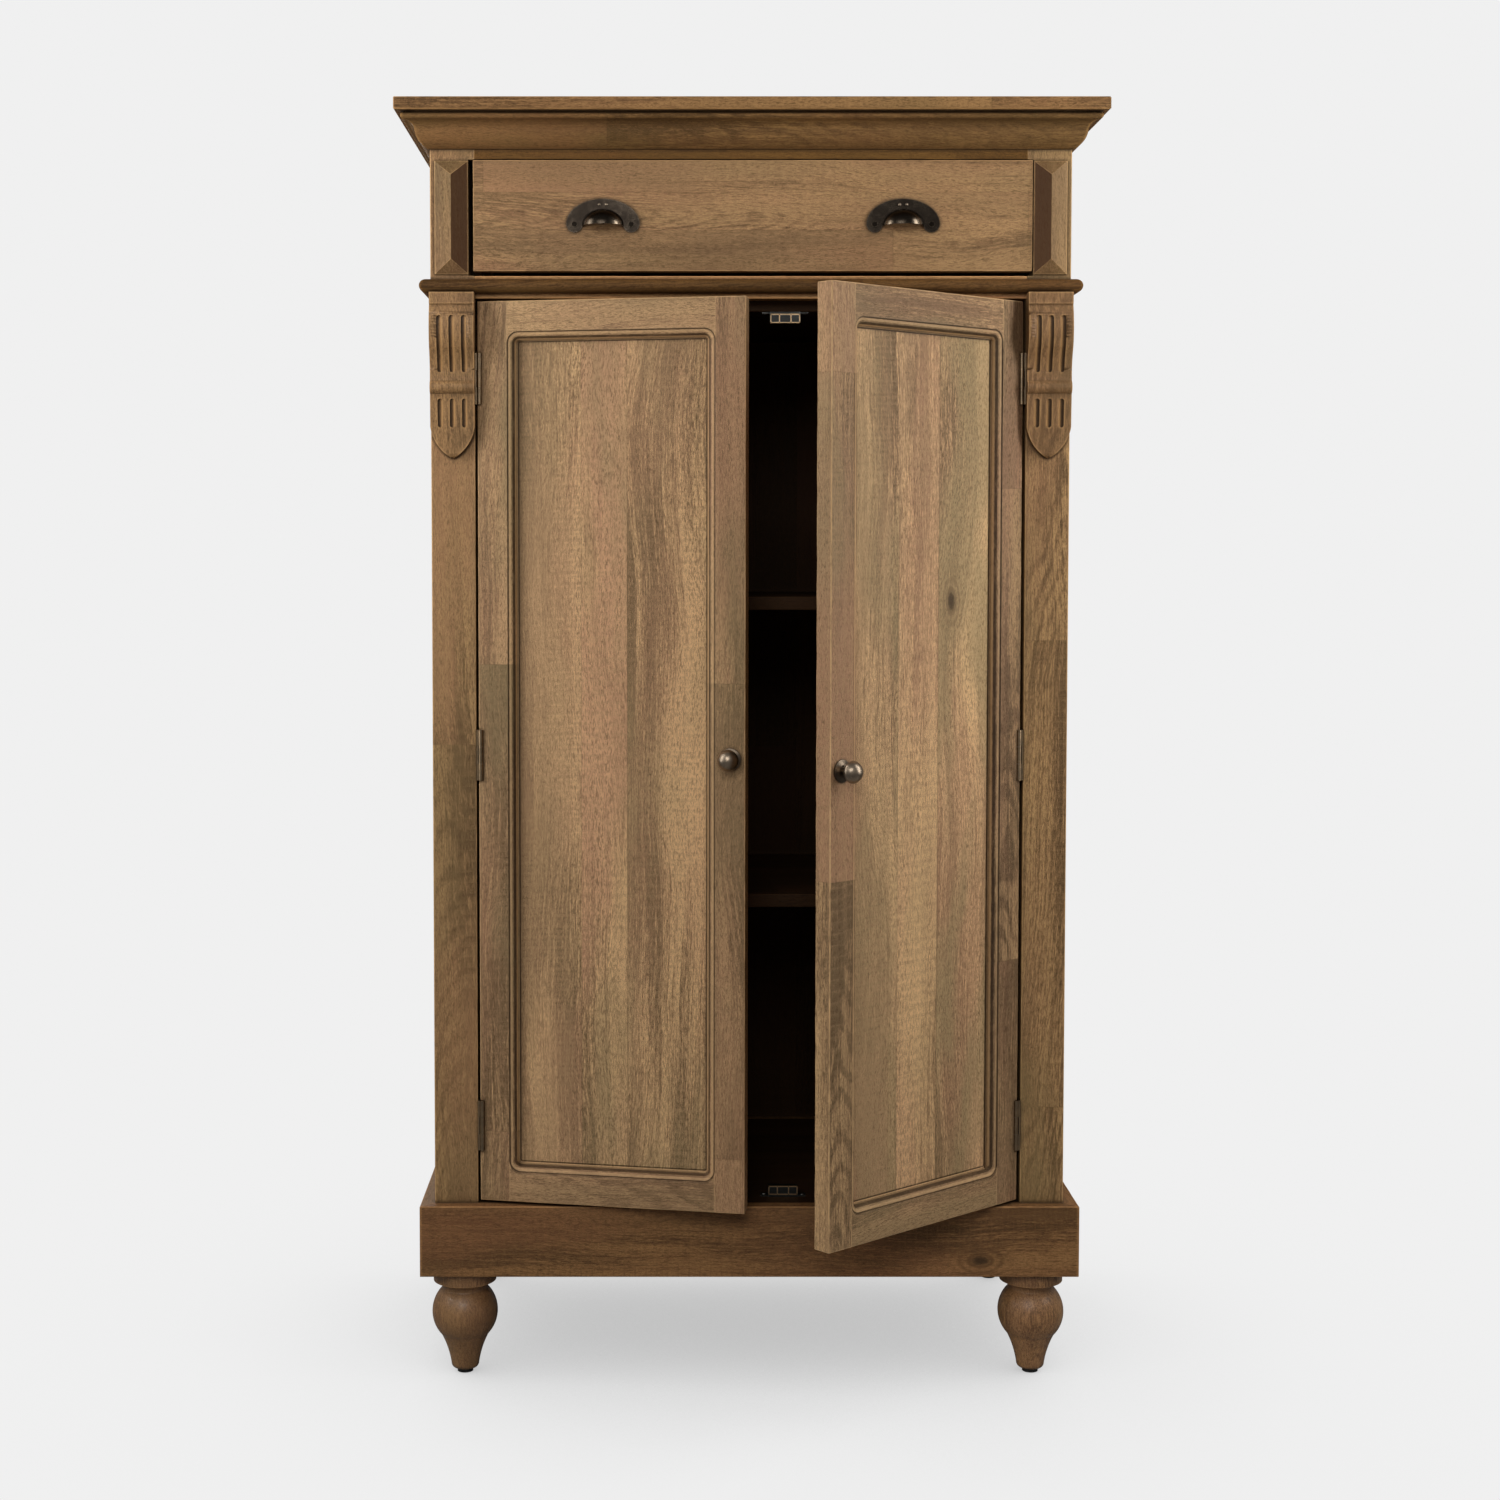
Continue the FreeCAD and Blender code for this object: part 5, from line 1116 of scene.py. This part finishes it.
def screw_head(bm, kind, place, direction, turn=0.0, cross=True):
    """A domed countersunk head with a cross or a slot, standing on a surface."""
    radius, height = HEADS[kind]
    matrix = Matrix.Translation(place) @ look_along(direction) @ Matrix.Rotation(turn, 4, "Z")
    angles = [math.tau * step / HEAD_SIDES for step in range(HEAD_SIDES)]

    def point(angle, reach, lift):
        local = Vector((math.cos(angle) * reach, math.sin(angle) * reach, lift))
        return bm.verts.new(matrix @ local)

    rings = []
    for share, lift in HEAD_DOME:
        rings.append([point(angle, radius * share, height * lift) for angle in angles])
    slots = [math.tau * quarter / 4 for quarter in ((0, 1, 2, 3) if cross else (0, 2))]
    inner = []
    for angle in angles:
        apart = min(abs(math.remainder(angle - slot, math.tau)) for slot in slots)
        share, lift = HEAD_IN_SLOT if apart < SLOT_HALF_ANGLE else HEAD_BESIDE_SLOT
        inner.append(point(angle, radius * share, height * lift))
    rings.append(inner)
    middle = point(0.0, 0.0, height * HEAD_MIDDLE_DEPTH)
    for step in range(HEAD_SIDES):
        after = (step + 1) % HEAD_SIDES
        for low, high in zip(rings, rings[1:]):
            bm.faces.new((low[step], low[after], high[after], high[step]))
        bm.faces.new((inner[step], inner[after], middle))
    bm.faces.new(rings[0][::-1])


# One operator for each group of like pieces


class CABINET_OT_dress_carcase(bpy.types.Operator):
    """Dress the posts, side frames, cornice, mouldings and plinth"""

    bl_idname = "cabinet.dress_carcase"
    bl_label = "Dress Carcase"

    def execute(self, context):
        dress_group("carcase")
        return {"FINISHED"}


class CABINET_OT_dress_ornament(bpy.types.Operator):
    """Dress the carved corbels and the raised blocks"""

    bl_idname = "cabinet.dress_ornament"
    bl_label = "Dress Ornament"

    def execute(self, context):
        dress_group("ornament")
        return {"FINISHED"}


class CABINET_OT_dress_feet(bpy.types.Operator):
    """Dress the turned feet and their glides"""

    bl_idname = "cabinet.dress_feet"
    bl_label = "Dress Feet"

    def execute(self, context):
        dress_group("feet")
        finish_node("foot_glides", "black_plastic")
        return {"FINISHED"}


class CABINET_OT_dress_interior(bpy.types.Operator):
    """Dress the shelves, floor, divider, runners and back"""

    bl_idname = "cabinet.dress_interior"
    bl_label = "Dress Interior"

    def execute(self, context):
        dress_group("interior")
        return {"FINISHED"}


class CABINET_OT_dress_doors(bpy.types.Operator):
    """Dress the frames and panels of both doors"""

    bl_idname = "cabinet.dress_doors"
    bl_label = "Dress Doors"

    def execute(self, context):
        dress_group("doors")
        return {"FINISHED"}


class CABINET_OT_dress_drawer(bpy.types.Operator):
    """Dress the drawer front and box"""

    bl_idname = "cabinet.dress_drawer"
    bl_label = "Dress Drawer"

    def execute(self, context):
        dress_group("drawer")
        return {"FINISHED"}


class CABINET_OT_fit_hardware(bpy.types.Operator):
    """Finish the knobs, cup pulls, hinges, catches and strike plates"""

    bl_idname = "cabinet.fit_hardware"
    bl_label = "Fit Hardware"

    def execute(self, context):
        for word in SIDES:
            dress_knob(word)
            finish_node(f"cup_pull_{word}", "aged_metal")
            finish_node(f"door_{word}_hinge_leaves", "hinge_steel")
            finish_node(f"door_{word}_strikes", "catch_steel")
        finish_node("pull_screws", "screw_bronze")
        finish_node("post_hinge_leaves", "hinge_steel")
        finish_node("magnetic_catches", "catch_housing")
        return {"FINISHED"}


class CABINET_OT_add_fastenings(bpy.types.Operator):
    """Add the hinge, catch and strike screws, the dots on the pulls and the back panel's nails"""

    bl_idname = "cabinet.add_fastenings"
    bl_label = "Add Fastenings"

    def execute(self, context):
        add_pull_dots()
        add_hinge_screws()
        add_catch_screws()
        add_catch_frames()
        add_back_nails()
        return {"FINISHED"}


def add_pull_dots():
    """Two small raised dots at the top of each pull's plate."""
    bm = bmesh.new()
    for middle in PULL_MIDDLES:
        for step in (-1, 1):
            place = Vector((middle + step * PULL_DOT_ASIDE, PULL_DOT_FRONT, PULL_DOT_HEIGHT))
            dot = {"radius": PULL_DOT_RADIUS, "matrix": Matrix.Translation(place)}
            bmesh.ops.create_uvsphere(bm, u_segments=16, v_segments=10, **dot)
    make_piece("pull_dots", bm, "knob_metal", "drawer")


def hinge_screws(leaf, side):
    """Places of the screws through one side's hinge leaves, on the post or on the door."""
    x = side * HINGE_SCREW_FACES[leaf]
    return [Vector((x, y, middle + lift)) for middle in HINGE_MIDDLES for lift, y in HINGE_SCREWS]


def add_hinge_screws():
    """Screws through the leaves on both posts, and through those on each door."""
    bm = bmesh.new()
    in_posts = [(place, side) for side in SIDES.values() for place in hinge_screws("post", side)]
    for number, (place, side) in enumerate(in_posts):
        screw_head(bm, "hinge", place, (-side, 0, 0), number * 0.7)
    make_piece("post_hinge_screws", bm, "hinge_steel", "cabinet")
    for word, side in SIDES.items():
        bm = bmesh.new()
        for number, place in enumerate(hinge_screws("door", side)):
            screw_head(bm, "hinge", place, (side, 0, 0), number * 1.1)
        bm.transform(closing(f"door_{word}").inverted())
        make_piece(f"door_{word}_hinge_screws", bm, "hinge_steel", f"door_{word}")


def add_catch_screws():
    """Screws through both feet of each catch, and at the corners of each strike plate."""
    bm = bmesh.new()
    for side in SIDES.values():
        for step in (-1, 1):
            x = side * CATCH_MIDDLE + step * CATCH_SCREW_ASIDE
            for base, way in CATCH_BASES:
                place = Vector((x, CATCH_SCREW_Y, base))
                screw_head(bm, "catch", place, (0, 0, way), side + step)
    make_piece("catch_screws", bm, "catch_steel", "cabinet")
    for word in SIDES:
        bm = bmesh.new()
        low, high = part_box(f"door_{word}_strikes")
        turn = closing(f"door_{word}")
        middle = turn @ ((low + high) / 2)
        for height in (low.z + STRIKE_SCREW_FROM_END, high.z - STRIKE_SCREW_FROM_END):
            for step in (-STRIKE_SCREW_ASIDE, STRIKE_SCREW_ASIDE):
                place = Vector((middle.x + step, middle.y + STRIKE_HALF_THICKNESS, height))
                screw_head(bm, "strike", place, (0, 1, 0), step * 90)
        bm.transform(turn.inverted())
        make_piece(f"door_{word}_strike_screws", bm, "catch_steel", f"door_{word}")


def bar(bm, low, high):
    """A straight bar with eased edges between two corners."""
    made = bmesh.ops.create_cube(bm, size=1.0)
    size = Vector(high) - Vector(low)
    middle = (Vector(high) + Vector(low)) / 2
    for vertex in made["verts"]:
        vertex.co = vertex.co * size + middle
    edges = list({edge for vertex in made["verts"] for edge in vertex.link_edges})
    easing = {"offset": BAR_EASE, "offset_type": "OFFSET", "segments": 1}
    bmesh.ops.bevel(bm, geom=edges, affect="EDGES", **easing)


def add_catch_frames():
    """A pressed steel frame with two pole bars on the face of each catch."""
    bm = bmesh.new()
    for side in SIDES.values():
        middle = side * CATCH_MIDDLE
        left, right = middle - FRAME_HALF_WIDTH, middle + FRAME_HALF_WIDTH
        for base, way in CATCH_BASES:
            for span in FRAME_BARS:
                low, high = sorted(base + way * end for end in span)
                bar(bm, (left, FRAME_FRONT, low), (right, FRAME_BACK, high))
            low, high = sorted(base + way * end for end in UPRIGHT_SPAN)
            for x in (middle + step for step in FRAME_UPRIGHTS):
                start = (x - UPRIGHT_HALF_WIDTH, FRAME_FRONT, low)
                bar(bm, start, (x + UPRIGHT_HALF_WIDTH, FRAME_BACK, high))
    make_piece("catch_frames", bm, "hinge_steel", "cabinet")


def add_back_nails():
    """Small nail heads round the edge of the back panel."""
    low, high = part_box("back_panel")
    margin = Vector((NAIL_MARGIN, 0, NAIL_MARGIN))
    start, span = low + margin, high - low - 2 * margin
    across, up = NAIL_SPACES
    bm = bmesh.new()
    for column in range(across + 1):
        for row in range(up + 1):
            if column in (0, across) or row in (0, up):
                x, z = start.x + span.x * column / across, start.z + span.z * row / up
                screw_head(bm, "nail", Vector((x, high.y, z)), (0, 1, 0), cross=False)
    make_piece("back_nails", bm, "hinge_steel", "cabinet")


class CABINET_OT_set_stage(bpy.types.Operator):
    """Set the pale floor, the soft lights, the surroundings and the camera"""

    bl_idname = "cabinet.set_stage"
    bl_label = "Set Stage"

    def execute(self, context):
        studio = context.scene.cabinet_studio
        make_floor(studio)
        make_surroundings(studio)
        make_lights(studio)
        make_camera(studio)
        return {"FINISHED"}


def make_floor(studio):
    """A pale round floor, glowing evenly for the camera with a painted shadow under the cabinet, that melts into
    the surroundings.
    """
    bm = bmesh.new()
    bmesh.ops.create_circle(bm, cap_ends=True, radius=6.0, segments=96)
    mesh = bpy.data.meshes.new("floor")
    bm.to_mesh(mesh)
    bm.free()
    make = Shading("pale_floor")
    fade = make.remap(make.length(make.place()), 1.6, 5.0, 1.0, 0.0)
    # Painted shadow: the glow dims where the cabinet occludes the floor
    shade = make.math("POWER", make.remap(make.occlusion(0.7, samples=8), 0.0, 1.0), 0.7)
    tone = make.mix(shade, tinted(studio.backdrop, WHITE, 0.55), studio.backdrop)
    glow = make.add("ShaderNodeEmission", {"Color": tone}).outputs[0]
    clear = make.add("ShaderNodeBsdfTransparent").outputs[0]
    seen = make.add("ShaderNodeMixShader", {0: fade, 1: clear, 2: glow}).outputs[0]
    paint = make.add("ShaderNodeBsdfDiffuse", {"Color": (0.3, 0.3, 0.3, 1.0)}).outputs[0]
    ray = make.add("ShaderNodeLightPath").outputs["Is Camera Ray"]
    make.close(make.add("ShaderNodeMixShader", {0: ray, 1: paint, 2: seen}).outputs[0])
    mesh.materials.append(make.material)
    floor = bpy.data.objects.new("floor", mesh)
    bpy.context.scene.collection.objects.link(floor)


def make_surroundings(studio):
    """A backdrop for the camera, soft light all round, and its own brightness for mirrors."""
    world = bpy.data.worlds.new("surroundings")
    bpy.context.scene.world = world
    world.use_nodes = True
    make = Nodes(world.node_tree)

    def background(tone, strength):
        return make.add("ShaderNodeBackground", {0: opaque(tone), 1: strength}).outputs[0]

    def choose(ray, otherwise, chosen):
        return make.add("ShaderNodeMixShader", {0: ray, 1: otherwise, 2: chosen}).outputs[0]

    rays = make.add("ShaderNodeLightPath").outputs
    light, mirrored = background(WHITE, studio.ambient), background(WHITE, studio.mirrored)
    unseen = choose(rays["Is Glossy Ray"], light, mirrored)
    mixed = choose(rays["Is Camera Ray"], unseen, background(studio.backdrop, 1.0))
    make.add("ShaderNodeOutputWorld", {0: mixed})


def make_lights(studio):
    """Two tall soft boxes beside the cabinet, a wide one over the camera and a weak one behind."""
    for name, (place, target, size, power) in LIGHTS.items():
        data = bpy.data.lights.new(name, "AREA")
        data.shape = "RECTANGLE"
        data.size, data.size_y = size
        data.energy = getattr(studio, power)
        lamp = bpy.data.objects.new(name, data)
        lamp.location = place
        aim = Vector(target) - Vector(place)
        lamp.rotation_euler = aim.to_track_quat("-Z", "Y").to_euler()
        bpy.context.scene.collection.objects.link(lamp)


def make_camera(studio):
    """A camera in front of the cabinet, looking a little down."""
    data = bpy.data.cameras.new("camera")
    data.sensor_width = 36.0
    data.lens = studio.lens
    data.shift_x, data.shift_y = studio.shift_x, studio.shift_y
    data.clip_start, data.clip_end = 0.05, 60.0
    camera = bpy.data.objects.new("camera", data)
    camera.location = (studio.camera_x, studio.camera_y, studio.camera_z)
    camera.rotation_euler = (math.pi / 2 - studio.tilt, 0.0, 0.0)
    bpy.context.scene.collection.objects.link(camera)
    bpy.context.scene.camera = camera
    bpy.context.scene.view_settings.view_transform = "Standard"


class CABINET_PT_sidebar(bpy.types.Panel):
    """The cabinet's pieces, finishes and studio"""

    bl_idname = "CABINET_PT_sidebar"
    bl_label = "Cabinet"
    bl_space_type = "VIEW_3D"
    bl_region_type = "UI"
    bl_category = "Cabinet"

    def draw(self, context):
        for operator in OPERATORS:
            self.layout.operator(operator.bl_idname)
        scene = context.scene
        for group in (scene.cabinet_wood, scene.cabinet_metal, scene.cabinet_studio):
            box = self.layout.box()
            for name in group.__annotations__:
                box.prop(group, name)


OPERATORS = (
    CABINET_OT_dress_carcase,
    CABINET_OT_dress_ornament,
    CABINET_OT_dress_feet,
    CABINET_OT_dress_interior,
    CABINET_OT_dress_doors,
    CABINET_OT_dress_drawer,
    CABINET_OT_fit_hardware,
    CABINET_OT_add_fastenings,
    CABINET_OT_set_stage,
)
CLASSES = (CabinetWood, CabinetMetal, CabinetStudio, *OPERATORS, CABINET_PT_sidebar)


def register():
    for cls in CLASSES:
        bpy.utils.register_class(cls)
    bpy.types.Scene.cabinet_wood = PointerProperty(type=CabinetWood)
    bpy.types.Scene.cabinet_metal = PointerProperty(type=CabinetMetal)
    bpy.types.Scene.cabinet_studio = PointerProperty(type=CabinetStudio)


def unregister():
    del bpy.types.Scene.cabinet_studio
    del bpy.types.Scene.cabinet_metal
    del bpy.types.Scene.cabinet_wood
    for cls in reversed(CLASSES):
        bpy.utils.unregister_class(cls)


def main():
    """Runs the operators in order."""
    register()
    bpy.ops.cabinet.dress_carcase()
    bpy.ops.cabinet.dress_ornament()
    bpy.ops.cabinet.dress_feet()
    bpy.ops.cabinet.dress_interior()
    bpy.ops.cabinet.dress_doors()
    bpy.ops.cabinet.dress_drawer()
    bpy.ops.cabinet.fit_hardware()
    bpy.ops.cabinet.add_fastenings()
    bpy.ops.cabinet.set_stage()


if __name__ == "__main__":
    main()
